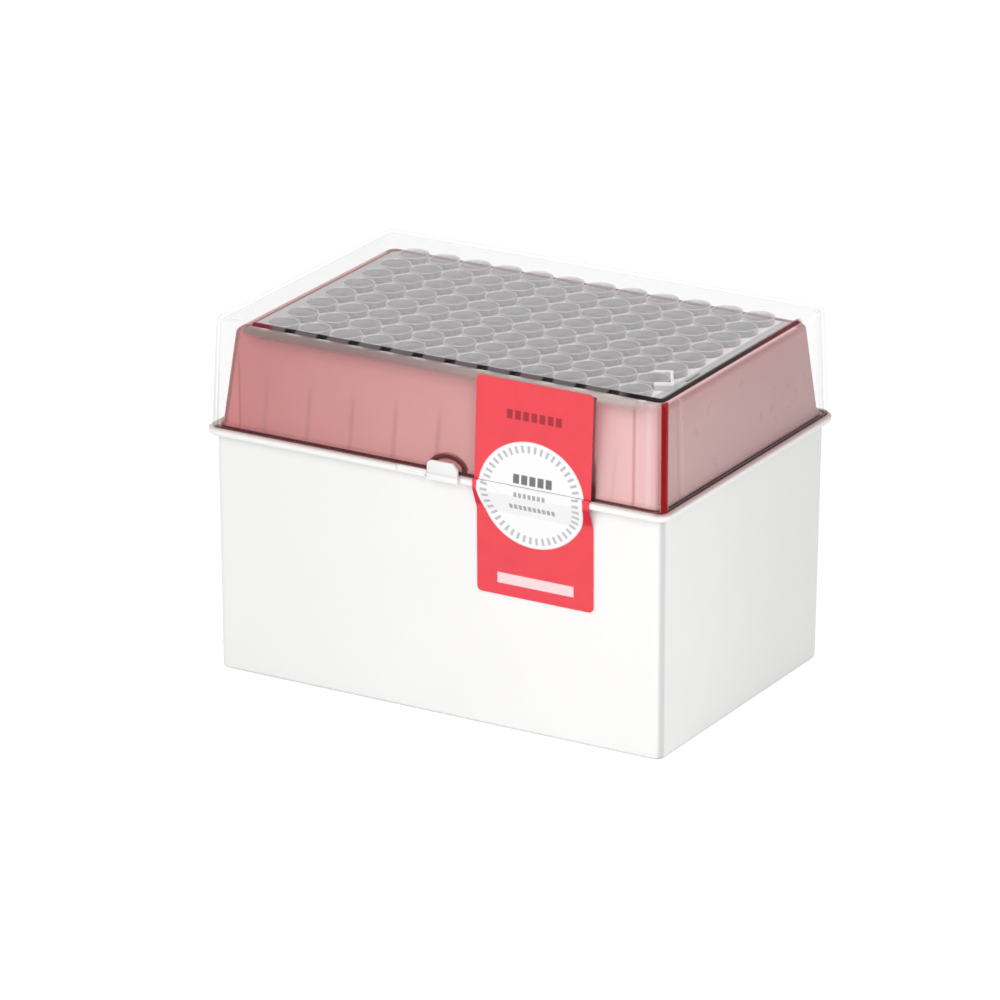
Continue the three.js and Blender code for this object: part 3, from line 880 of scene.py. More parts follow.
@dataclass(frozen=True)
class TintedPlastic(Finish):
    """The tray's milky red plastic, pale in its walls. Painted light makes the long walls paler to the right,
    painted shade darkens the end walls towards the back and the top, and stripes of painted light and shade
    stand where the posts are behind the walls. It is deep where one looks along it at the flange, the front
    corners and the hood over the latch: partly the deeper red of thick plastic, partly painted shade at the
    flange, the hood and the back edge, and painted light and shade at the front corners. The ribs show
    faintly, as lines that are partly sink marks and partly painted shade."""

    name: str = "tray_milky_red"
    skin: Skin = Skin((0.24, 0.34), (5.0, 3.0), (7.0, 2.0), 0.05, 0.2, specular=0.15)
    through: Colour = srgb(240, 120, 125)
    # painted light: the long walls grow paler to the right
    walls: tuple[Colour, Layer, Layer] = (
        srgb(206, 131, 132), Layer(srgb(225, 162, 161), Zone(x=(-26, None, 84))),
        Layer(srgb(250, 202, 202), Zone(x=(30, None, 62))),
    )
    # painted shade: the end walls are darker towards the back and under the shoulder
    ends: tuple[Colour, Layer, Layer, Layer] = (
        srgb(219, 180, 179), Layer(srgb(200, 158, 159), Zone(y=(0, None, 80))),
        Layer(srgb(222, 158, 156), Zone(z=(84, None, 10)), 0.4),
        Layer(srgb(176, 122, 124), Zone(z=(87.8, None, 1.6)), 0.8),
    )
    end_x: float = 61.3
    # painted shade where the end walls turn at their back corner
    end_back_shade: Colour = srgb(140, 108, 112)
    cloud: Colour = srgb(238, 196, 194)
    # lines at the ribs: partly sink marks, partly painted shade of the ribs behind the wall
    rib: Layer = Layer(srgb(176, 122, 120), Zone(x=(-50.0, 50.0, 0.5), z=(None, 77.2, 8.0)), 0.42)
    rib_pitch: float = 12.25
    # deep red: partly the deeper red of thick plastic, partly painted shade at the flange, the hood's arch
    # and the back edge; paler to the right
    deep: tuple[Colour, Layer] = (srgb(104, 22, 30), Layer(srgb(158, 96, 96), Zone(x=(44, None, 6))))
    deep_end: Colour = srgb(66, 20, 24)
    # painted deep red: the front right corner's round, where one looks along the end wall and it refracts the
    # light
    crimson: Colour = srgb(152, 10, 18)
    crimson_zone: Zone = Zone(z=(64.65, None, 0.2))
    # painted light and shade at the front left corner's round: a warmer stretch, its darker edge and a
    # slanting line
    corner_light: Colour = srgb(220, 136, 130)
    corner_shade_line: Colour = srgb(184, 90, 82)
    corner_edge_shade: Colour = srgb(150, 84, 86)
    flange: Zone = Zone(z=(64.0, 64.65, 0.4))
    back_edge: Zone = Zone(y=(33.0, None, 2.0), z=(88.7, None, 0.4))
    hood_middle: Pair = (3.5, 64.2)
    hood_reach: Pair = (5.0, 3.8)
    arc: Arc = Arc(65.4, (59.1, 38.7), (0.078, 0.1468))
    # stripes of painted light and shade where the posts stand behind the walls
    front_post_shading: tuple[Stripe, ...] = (
        Stripe(-4.25, 0.4, srgb(214, 148, 150), 0.8), Stripe(-0.3, 0.6, srgb(255, 222, 224), 0.6),
    )
    turn_post_shading: Stripe = Stripe(0.2, 0.9, srgb(222, 164, 152), 0.7)
    end_post_shading: tuple[Stripe, ...] = (
        Stripe(-31.3, 0.5, srgb(204, 156, 156), 0.6), Stripe(-29.2, 0.7, srgb(240, 202, 200), 0.35),
        Stripe(-38.6, 1.4, srgb(190, 128, 126), 0.7),
    )
    end_post_lean: Pair = (0.0755, 76.7)

    def crimson_corner(self, graph: Graph) -> Socket:
        """The outer half of the front right corner's arc, where one looks along the end wall and the painted
        deep red lies.
        """
        across, along = self.arc.reach(graph)
        return graph.zone(
            self.crimson_zone,
            graph.above(along, 0.15, 0.6),
            graph.above(graph.math("SUBTRACT", across, along), 0.85, 0.7),
        )

    def left_corner_light_and_shade(self, graph: Graph, wall: Socket) -> Socket:
        """Lays on a wall the painted light and shade of the front left corner: a warmer stretch, a darker
        edge, and the slanting line where the stretch ends."""
        across, along = self.arc.reach(graph, -1)
        slant = 0.185
        lean = graph.total(across, graph.sloped(graph.z, -slant, self.arc.foot * slant))
        front = graph.above(along, -0.5, 1.0)
        line = graph.both(graph.between(lean, -3.4, -2.8, 0.5), front, graph.below(graph.z, 82.0, 8.0))
        wall = graph.lay(wall, self.corner_light, graph.both(graph.above(lean, -2.6, 1.0), front), 0.5)
        wall = graph.lay(wall, self.corner_edge_shade, graph.both(graph.above(across, 0.8, 1.2), front), 0.75)
        return graph.lay(wall, self.corner_shade_line, line, 0.5)

    def hood(self, graph: Graph) -> Socket:
        """The arch over the latch tab, which takes the deep red with its painted shade."""
        reach = graph.oval(self.hood_middle, self.hood_reach)[2]
        return graph.both(graph.between(reach, 0.84, 1.16, 0.12), graph.below(graph.y, -41.0, 0.4))

    def ribs(self, graph: Graph) -> Socket:
        """The lines of the ribs on the long walls, partly sink marks and partly painted shade, fainter at the
        right end.
        """
        line = graph.below(graph.off_beat(graph.x, self.rib_pitch, 0.0), 0.6, 1.0)
        outer = graph.above(graph.math("ABSOLUTE", graph.y), 36.0, 0.5)
        return graph.both(line, graph.sloped(graph.above(graph.x, 44, 2), -0.7, 1.0), outer)

    def long_wall(self, graph: Graph) -> Socket:
        """The front and back walls: their painted light, paler to the right along the length, the ribs' lines
        and the posts' stripes of painted light and shade.
        """
        wall = graph.coat(graph.coat(*self.walls), self.rib, where=self.ribs(graph))
        across, along = self.arc.reach(graph)
        for post in self.front_post_shading:
            wall = post.over(graph, across, wall)
        turn = graph.math("SUBTRACT", across, along)
        return self.left_corner_light_and_shade(graph, self.turn_post_shading.over(graph, turn, wall))

    def end_wall(self, graph: Graph) -> Socket:
        """The short walls, with their painted shade, the posts' stripes of painted light and shade near their
        front, and painted shade at the corner at their back.
        """
        wall = graph.coat(*self.ends)
        slope, level = self.end_post_lean
        lean = graph.total(graph.y, graph.sloped(graph.z, -slope, level * slope))
        for post in self.end_post_shading:
            wall = post.over(graph, lean, wall)
        slope = self.arc.lean[1]
        start = -self.arc.middle[1] - self.arc.foot * slope
        turn = graph.total(graph.y, graph.sloped(graph.z, slope, start))
        return graph.lay(wall, self.end_back_shade, graph.above(turn, 0.6, 1.2), 0.6)

    def paint(self, graph: Graph) -> Paint:
        """The colour with its painted light and shade, all but solid."""
        slope = self.arc.lean[0]
        rise = graph.sloped(graph.z, slope, -self.arc.foot * slope)
        end = graph.above(graph.total(graph.math("ABSOLUTE", graph.x), rise), self.end_x, 0.8)
        wall = graph.mix(end, self.long_wall(graph), self.end_wall(graph))
        wall = graph.lay(wall, self.cloud, graph.noise(14.0, 3.0), 0.14)
        # deep red with painted shade at the flange, the hood and the back edge
        deep = graph.either(graph.zone(self.flange), self.hood(graph), graph.zone(self.back_edge, 0.8))
        corner = self.crimson_corner(graph)
        colour = graph.lay(wall, graph.lay(graph.coat(*self.deep), self.deep_end, end), deep)
        # painted deep red at the front right corner
        colour = graph.lay(colour, self.crimson, corner)
        veil = graph.sloped(graph.either(deep, corner), 0.03, 0.96)
        return colour, graph.total(veil, graph.both(graph.facing(3.0), 0.03))


@dataclass(frozen=True)
class LidPlastic(Finish):
    """The lid's polished clear plastic: all but invisible in its walls, with a faint milky haze and edges
    that show as thin lines. Painted shade lies along the rounded edges that gather the contents' shade, along
    the foot, down the far upright corners, beside the label's right edge and in a grey band along the front,
    and the front right corner carries painted deep red."""

    name: str = "lid_clear"
    skin: Skin = Skin((0.1, 0.16), (4.0, 2.0), (11.0, 1.0), 0.05, 0.2, 1.5, 0.08)
    through: Colour = srgb(253, 253, 253)
    haze: float = 0.02
    body: Colour = srgb(208, 209, 209)
    cloud: Colour = srgb(240, 240, 240)
    edge: Zone = Zone(z=(91.95, 92.78, 0.2))
    # painted shade along the front top edge: dashes that repeat the tips
    front_edge: Zone = Zone(x=(-52.5, None, 1.5), y=(None, -40.9, 0.3))
    dash_pitch: float = 9.05
    dash_phase: float = -41.3
    dash_shades: tuple[Colour, Colour] = (srgb(94, 86, 90), srgb(4, 2, 3))
    dash_ends: tuple[Layer, Layer] = (
        Layer(srgb(16, 8, 10), Zone(x=(52, None, 4))), Layer(srgb(120, 4, 22), Zone(x=(None, -46.5, 3))),
    )
    # painted shade along the right top edge
    side_edge: Zone = Zone(x=(61.5, None, 0.3), y=(None, 29, 3.0), z=(92.0, 92.79, 0.3))
    side_shades: tuple[Colour, Layer] = (
        srgb(36, 8, 10), Layer(srgb(100, 10, 16), Zone(y=(8, None, 30))),
    )
    # a painted grey band of shade along the front, lighter to the right
    band: Zone = Zone(y=(None, -42.0, 0.3), z=(89.6, 92.0, 1.8))
    band_shades: tuple[Colour, Layer] = (
        srgb(136, 124, 119), Layer(srgb(188, 177, 173), Zone(x=(15, None, 80))),
    )
    arc: Arc = Arc(64.4, (61.6, 41.2), (0.0282, 0.0423))
    # painted deep red at the front right corner's round
    corner_shade: Colour = srgb(152, 8, 15)
    corner_zone: Zone = Zone(z=(None, 91.95, 0.3))
    # painted shade along the foot, where it gathers the tray flange's shade
    foot_zone: Zone = Zone(x=(-62.6, None, 0.6), z=(None, 64.85, 0.3))
    foot_pale: Zone = Zone(x=(44, None, 6), y=(None, -43.0, 0.2))
    foot_shades: tuple[Colour, Layer] = (
        srgb(98, 38, 42), Layer(srgb(70, 34, 38), Zone(x=(62.5, None, 0.6))),
    )
    # painted shade beside the label's right edge, darkest at its foot
    label_shadow_zone: Zone = Zone(x=(44.15, 44.95, 0.5), y=(None, -42.2, 0.2), z=(None, 90.4, 0.4))
    label_shadow_colour: Colour = srgb(70, 26, 30)
    # painted shade down the upright corners at the far left and right
    outline_shade: Colour = srgb(128, 142, 136)
    outline_left: Zone = Zone(x=(None, -61.9, 1.0), y=(None, -40.4, 0.6))
    outline_right: Zone = Zone(x=(61.8, None, 0.4))

    def corner(self, graph: Graph) -> Socket:
        """The outer half of the front right corner's arc, where the painted deep red lies."""
        across, along = self.arc.reach(graph)
        return graph.zone(
            self.corner_zone,
            graph.above(along, -0.15, 0.9),
            graph.above(graph.math("SUBTRACT", across, along), -0.6, 0.9),
            graph.above(graph.distance(across, along), 1.9, 0.3),
        )

    def foot(self, graph: Graph) -> tuple[Socket, Socket]:
        """The foot's edge, which gathers the tray flange's shade as painted shade, and how strongly it shows.
        """
        return graph.zone(self.foot_zone), graph.sloped(graph.zone(self.foot_pale), -0.25, 0.6)

    def outline(self, graph: Graph) -> Socket:
        """The upright corners at the far left and right, where one looks along the wall and painted shade
        lies.
        """
        veil = graph.both(graph.above(graph.y, 37.5, 1.5), 0.3)
        stripes = [graph.between(graph.y, low, low + wide, 0.6) for low, wide in ((38.4, 1.4), (41.2, 1.2))]
        right = graph.zone(self.outline_right, graph.either(veil, graph.both(graph.either(*stripes), 0.6)))
        return graph.either(graph.zone(self.outline_left), right)

    def label_shadow(self, graph: Graph) -> tuple[Socket, Socket]:
        """The painted shade along the label's right edge, and its strength, greatest at its foot."""
        return graph.zone(self.label_shadow_zone), graph.sloped(graph.below(graph.z, 68.5, 4.0), 0.4, 0.5)

    def dashes(self, graph: Graph) -> Socket:
        """The painted shade of the front edge: dashes that repeat the tips, plain at both ends."""
        dash = graph.below(graph.off_beat(graph.x, self.dash_pitch, self.dash_phase), 1.5, 0.9)
        return graph.coat(graph.mix(dash, *self.dash_shades), *self.dash_ends)

    def paint(self, graph: Graph) -> Paint:
        """The colour with each line of painted shade, laid on well past its soft ends, and how solid each one
        is.
        """
        edge = graph.zone(self.edge)
        front, right = graph.zone(self.front_edge, edge), graph.zone(self.side_edge)
        band = graph.zone(self.band, graph.above(graph.x, -54.5, 2.0), graph.below(graph.x, 57.5, 7.0))
        corner, outline = self.corner(graph), self.outline(graph)
        foot, foot_strength = self.foot(graph)
        label_shadow, label_shadow_strength = self.label_shadow(graph)
        colour = graph.lay(self.body, self.cloud, graph.noise(16.0), 0.4)
        # painted shade and painted deep red, laid on in turn
        for shade, mask, sharpening in (
            (self.outline_shade, outline, 6.0), (graph.coat(*self.band_shades), band, 6.0),
            (graph.coat(*self.foot_shades), foot, 3.0), (self.corner_shade, corner, 1.0),
            (self.label_shadow_colour, label_shadow, 3.0), (self.dashes(graph), front, 1.0),
            (graph.coat(*self.side_shades), right, 1.0),
        ):
            colour = graph.lay(colour, shade, mask, sharpening)
        parts = ((edge, 0.14), (band, 0.85), (corner, 0.93), (foot, foot_strength), (label_shadow, label_shadow_strength),
                 (outline, 0.16), (graph.either(front, right), 0.97))
        thin = graph.total(graph.both(graph.facing(4.0), 0.4), self.haze)
        return colour, graph.either(thin, *(graph.both(mask, strength) for mask, strength in parts))


@dataclass(frozen=True)
class CapillaryPlastic(Finish):
    """Clear thin plastic of the capillaries: the rim of the collar catches the light, the wall nearly
    disappears, and the barrel below the plate looks slightly frosted."""

    name: str = "capillary_clear"
    skin: Skin = Skin((0.12, 0.22), (2.0, 2.0), (2.5, 1.0), 0.02, 0.2, 1.5)
    through: Colour = srgb(246, 244, 245)
    colours: tuple[Colour, Colour] = (srgb(250, 247, 248), srgb(252, 244, 246))
    rim: Zone = Zone(z=(90.35, None, 0.3))
    barrel: Zone = Zone(z=(None, 88.4, 0.3))

    def paint(self, graph: Graph) -> Paint:
        """The colour, and how solid the upright walls, the rim and the barrel are."""
        normal = graph.node("ShaderNodeTexCoord").outputs["Normal"]
        upright = graph.below(graph.math("ABSOLUTE", graph.axes(normal)[2]), 0.5, 0.4)
        wall = graph.both(graph.sloped(graph.facing(1.6), 0.72, 0.22), upright)
        solid = graph.either(wall, graph.zone(self.rim, 0.4), graph.zone(self.barrel, 0.45), 0.03)
        return graph.mix(graph.both(graph.noise(3.0), 0.5), *self.colours), solid


@dataclass(frozen=True)
class PistonPlastic(Finish):
    """The pistons' thin grey plastic, half see-through, and clearer where the far row stands free."""

    name: str = "piston_grey"
    skin: Skin = Skin((0.4, 0.5), (3.0, 2.0), (0.6, 1.0), 0.01, 0.3, specular=0.2)
    through: Colour = srgb(250, 249, 249)
    colours: tuple[Colour, Colour] = (srgb(176, 174, 176), srgb(167, 165, 168))
    solid: float = 0.6
    far_solid: float = 0.12
    far_zone: Zone = Zone(y=(31.4, None, 0.8), z=(88.8, None, 0.2))

    def paint(self, graph: Graph) -> Paint:
        """The mottled grey, and how solid it is."""
        colour = graph.mix(graph.above(graph.noise(5.0, 3.0), 0.5, 0.5), *self.colours)
        return colour, graph.ranged(graph.zone(self.far_zone), self.solid, self.far_solid)


@dataclass(frozen=True)
class LabelFilm(Finish):
    """The printed film of the seal: warm red, with painted shade where it bends under the rim, a plain white
    disc inside a ring of ticks, and bars in place of any words."""

    name: str = "label_printed_film"
    skin: Skin = Skin((0.42, 0.52), (3.0, 2.0), (0.8, 2.0), 0.01, 0.3, 1.45, 0.15)
    reds: tuple[Colour, Colour] = (srgb(240, 80, 90), srgb(232, 78, 88))
    # painted shade where the film bends under the rim and faces down
    fold_shade: Layer = Layer(srgb(214, 40, 62), Zone(z=(57.8, 62.4, 1.2)))
    paper: Colour = srgb(246, 246, 246)
    middle: Pair = (27.9, 62.6)
    reach: Pair = (14.7, 13.7)
    ticks: int = 46
    tick_ink: Colour = srgb(96, 112, 108)
    bars: tuple[Bar, ...] = (
        Bar((22.6, 65.3), (33.9, 67.7), srgb(70, 70, 70), 0.85, (2.26, 0.85)),
        Bar((23.4, 62.2), (32.6, 63.4), srgb(70, 70, 70), 0.6, (1.3, 0.42)),
        Bar((21.6, 58.6), (34.6, 59.9), srgb(70, 70, 70), 0.6, (1.3, 0.45)),
        Bar((20.4, 81.4), (36.2, 83.7), srgb(96, 30, 42), 0.6, (2.26, 0.8)),
        Bar((17.8, 38.3), (39.0, 41.0), srgb(252, 232, 235), 0.85),
    )

    def paint(self, graph: Graph) -> Paint:
        """The printed colours and the painted shade of the fold, all solid."""
        across, up, reach = graph.oval(self.middle, self.reach)
        turn = graph.off_beat(graph.math("ARCTAN2", up, across), 2 * math.pi / self.ticks, 0.0)
        ring = graph.both(graph.between(reach, 0.80, 0.93, 0.03), graph.below(turn, 0.028, 0.02))
        colour = graph.mix(graph.above(graph.noise(7.0, 4.0), 0.5, 0.6), *self.reds)
        colour = graph.coat(colour, self.fold_shade)
        colour = graph.lay(colour, self.paper, graph.below(reach, 1.0, 0.03))
        colour = graph.lay(colour, self.tick_ink, ring, 0.5)
        for bar in self.bars:
            colour = bar.over(graph, colour)
        return colour, 1.0


# ---- Base ----------------------------------------------------------------------------------------


@dataclass
class BaseBox:
    """The white moulded base: drafted walls, flanged rim, latch tab beside a thumb recess, hinge lugs."""

    rim: Level = Level(64.2, 65.0, 44.6, 3.6)
    rim_under: float = 62.3
    rim_round: float = 0.5
    top: Pair = (63.0, 42.4)
    foot: Pair = (62.7, 41.4)
    foot_round: float = 0.6
    foot_border: float = 4.0
    foot_depth: float = 0.8
    corners: Pair = (2.2, 1.5)
    wall: float = 1.4
    floor: float = 2.8
    edge_round: float = 0.25
    tab_span: Pair = (-0.8, 7.8)
    tab_top: float = 67.3
    tab_front: float = -44.9
    tab_thickness: float = 0.9
    tab_slant: Pair = (1.5, 2.3)
    tab_round: float = 1.4
    slit: float = 0.8
    slit_depth: float = 1.6
    recess: float = 7.2
    recess_depth: float = 0.9
    cutter_front: float = -46.0
    cutter_heights: Pair = (61.0, 66.0)
    hinge: Pair = (47.2, 65.0)
    lug_radius: float = 2.6
    bore: float = 1.55
    lug_width: float = 3.0
    lug_round: float = 0.15
    lug_places: tuple[float, ...] = (-43.8, -32.2, 32.2, 43.8)

    def shell(self) -> Piece:
        """The walls, floor and rim, lofted from the underside's recess round to the floor inside."""
        outer, inner = self.corners
        wall, edge = self.wall, self.rim_round
        foot, top = Level(0, *self.foot, outer), Level(self.rim_under, *self.top, outer)
        bed = Level(0, foot.half_x - self.foot_border, foot.half_y - self.foot_border, outer)
        room = Level(0, top.half_x - wall, top.half_y - wall, inner)
        return Piece.loft("base_shell", [
            replace(bed, z=self.foot_depth),
            bed,
            Level(0, foot.half_x - self.foot_round, foot.half_y - self.foot_round, outer),
            replace(foot, z=self.foot_round),
            top,
            self.rim.inset(edge, self.rim_under),
            replace(self.rim, z=self.rim_under + edge),
            self.rim,
            replace(room, z=self.rim.z),
            replace(room, z=self.rim_under),
            Level(self.floor + wall, foot.half_x - wall, foot.half_y - wall, inner),
            Level(self.floor, foot.half_x - 2 * wall, foot.half_y - 2 * wall, inner),
        ])

    def tab(self) -> Piece:
        """The upright tongue: its left corner is rounded and its right one cut off at a slant."""
        left, right = self.tab_span
        top, front = self.tab_top, self.tab_front
        tab = Piece.block(
            "latch_tab", (left, front, self.rim_under), (right, front + self.tab_thickness, top)
        )
        across, down = self.tab_slant
        with tab.editing("EDGE"):
            bpy.ops.mesh.select_all(action="SELECT")
            bpy.ops.mesh.bisect(
                plane_co=at(right - across, 0, top), plane_no=(down, 0, across),
                use_fill=True, clear_outer=True,
            )
            tab.pick(lambda point: point.x < left + 0.1 and point.z > top - 0.1)
            bpy.ops.mesh.bevel(offset=self.tab_round * MM, segments=5, affect="EDGES")
        tab.soften(0.2)
        return tab

    def cutters(self) -> Piece:
        """Relief slits beside the tab, the thumb recess and the nick where it ends."""
        low, high = self.cutter_heights
        deep, shallow = self.slit_depth - self.rim.half_y, self.recess_depth - self.rim.half_y
        left, right = self.tab_span
        start = left - self.slit - self.recess
        first, *others = (
            Piece.block(name, (begin, self.cutter_front, foot), (end, back, high))
            for name, begin, end, foot, back in (
                ("slit_right", right, right + self.slit, low, deep),
                ("slit_left", left - self.slit, left, low, deep),
                ("recess", start, left, (self.rim.z + self.rim_under) / 2, shallow),
                ("nick", start - self.slit, start, low, shallow),
            )
        )
        for cutter in others:
            first.combine(cutter, Join.ADD)
        return first

    def lug(self) -> Piece:
        """One drilled hinge lug over the box's middle: a rounded eye on a foot that grows out of the rim."""
        back, up = self.hinge
        half, front = self.lug_width / 2, self.rim.half_y - self.rim_round
        lug = Piece.rod("hinge_lug", (0, back, up), self.lug_radius, self.lug_width, Axis.X, 32)
        foot = Piece.block("lug_foot", (-half, front, self.rim_under + 0.05), (half, back, self.rim.z - 0.02))
        lug.combine(foot, Join.ADD)
        lug.combine(Piece.rod("bore", (0, back, up), self.bore, self.lug_width * 2, Axis.X), Join.CUT)
        lug.soften(self.lug_round)
        return lug

    def build(self, finish: bpy.types.Material) -> None:
        """Builds and dresses the base."""
        shell = self.shell()
        shell.soften(self.edge_round)
        shell.combine(self.cutters(), Join.CUT)
        shell.combine(self.tab(), Join.ADD)
        lug = self.lug()
        shell.absorb([lug.copy("lug_copy", (place, 0, 0)) for place in self.lug_places])
        lug.remove()
        shell.close()
        shell.dress(finish, Role.BASE, Body.BOX, "base_box")


# ---- Tray ----------------------------------------------------------------------------------------


@dataclass
class TipTray:
    """The tinted tray that hangs in the base's mouth and holds the plate in its top."""

    spigot: Level = Level(58.2, 61.3, 40.7, 1.5)
    flange: Level = Level(64.2, 62.6, 42.2, 3.0)
    foot: Level = Level(65.4, 62.1, 41.7, 3.0)
    shoulder: Level = Level(87.2, 60.4, 38.5, 3.0)
    round: float = 1.8
    pocket: Level = Level(86.4, 58.15, 36.25, 1.6)
    ledge: Level = Level(85.0, 57.95, 34.5, 1.6)
    inside: tuple[Level, ...] = (
        Level(85.0, 59.07, 37.32, 1.5), Level(65.4, 60.6, 40.2, 1.5),
        Level(64.2, 60.0, 39.4, 1.5), Level(58.2, 60.0, 39.4, 1.5),
    )
    rib_pitch: float = 12.25
    rib_count: int = 9
    rib_half: float = 0.5
    rib_heights: Pair = (58.6, 77.2)
    rib_reach: Pair = (36.47, 42.0)
    post_reach: Pair = (35.1, 42.0)
    post_x: float = 53.9
    end_post_reach: Pair = (57.2, 62.4)
    end_post_y: float = 32.9
    rib_limit: tuple[Level, ...] = (Level(58.0, 60.9, 40.3, 1.5), Level(64.9, 60.9, 40.3, 1.5))
    rib_sink: float = 0.4
    hood_middle: Pair = (3.5, 64.2)
    hood_reach: Pair = (5.0, 3.8)
    hood_half: float = 0.6
    hood_span: Pair = (-42.0, -38.6)
    hood_hole_span: Pair = (-43.0, -38.0)
    hood_cut_low: tuple[float, float, float] = (-10, -44, 55)
    hood_cut_high: tuple[float, float, float] = (20, -37, 64.2)

    def shell(self) -> Piece:
        """Spigot, flange, leaning walls, rounded shoulder, the plate's pocket and the inside."""
        top = rounding(self.shoulder, self.round, 8)
        return Piece.loft("tray_shell", [
            self.spigot,
            replace(self.spigot, z=self.flange.z),
            self.flange,
            replace(self.flange, z=self.foot.z),
            self.foot,
            self.shoulder,
            *top,
            replace(self.pocket, z=top[-1].z),
            self.pocket,
            replace(self.ledge, z=self.pocket.z),
            self.ledge,
            *self.inside,
        ], ring=True)

    def ribs(self) -> Piece:
        """Upright ribs on the inside of the walls, each a block trimmed to the leaning wall."""
        bottom, top = self.rib_heights
        half, ledge = self.rib_half, self.ledge.z
        middle = (self.rib_count - 1) / 2
        spans = [(place - middle) * self.rib_pitch for place in range(self.rib_count)]
        placed = []
        for (near, far), height, columns in (
            (self.rib_reach, top, spans), (self.post_reach, ledge, (-self.post_x, self.post_x))
        ):
            rib = Piece.block("rib", (-half, near, bottom), (half, far, height))
            placed += [rib.copy("rib_copy", (x, y, 0)) for x in columns for y in (0, -near - far)]
            rib.remove()
        near, far = self.end_post_reach
        post = Piece.block("end_post", (near, -half, bottom), (far, half, ledge))
        placed += [post.copy("rib_copy", (x, y, 0))
                   for x in (0, -near - far) for y in (-self.end_post_y, self.end_post_y)]
        post.remove()
        ribs = placed[0]
        ribs.absorb(placed[1:])
        walls = [level.inset(self.rib_sink, level.z) for level in (self.foot, self.shoulder)]
        ribs.combine(Piece.loft("rib_limit", [*self.rib_limit, *walls]), Join.TRIM)
        return ribs

    def hood(self) -> Piece:
        """The arch over the latch tab: a flattened ring cut off below the flange's foot."""
        hood = self.oval("hood", self.hood_half, self.hood_span)
        hood.combine(self.oval("hood_hole", -self.hood_half, self.hood_hole_span), Join.CUT)
        hood.combine(Piece.block("hood_floor", self.hood_cut_low, self.hood_cut_high), Join.CUT)
        hood.soften(0.15)
        return hood

    def oval(self, name: str, grown: float, span: Pair) -> Piece:
        """An oval bar that runs from front to back at the hood's place.

        Args:
            name: the piece's name.
            grown: how much wider it is than the hood's middle line, all round.
            span: where its front and its back are.

        Returns:
            The bar.
        """
        (x, z), (front, back), (across, up) = self.hood_middle, span, self.hood_reach
        oval = Piece.rod(name, (x, (front + back) / 2, z), 1.0, back - front, Axis.Y, 48)
        with oval.editing("VERT"):
            bpy.ops.mesh.select_all(action="SELECT")
            bpy.ops.transform.resize(
                value=(across + grown, 1, up + grown), center_override=at(x, 0, z)
            )
        return oval

    def build(self, finish: bpy.types.Material) -> None:
        """Builds and dresses the tray."""
        shell = self.shell()
        shell.combine(self.ribs(), Join.ADD)
        shell.combine(self.hood(), Join.ADD)
        shell.close()
        shell.dress(finish, Role.TRAY, Body.BOX, "tip_tray")


# ---- Plate and tips ------------------------------------------------------------------------------


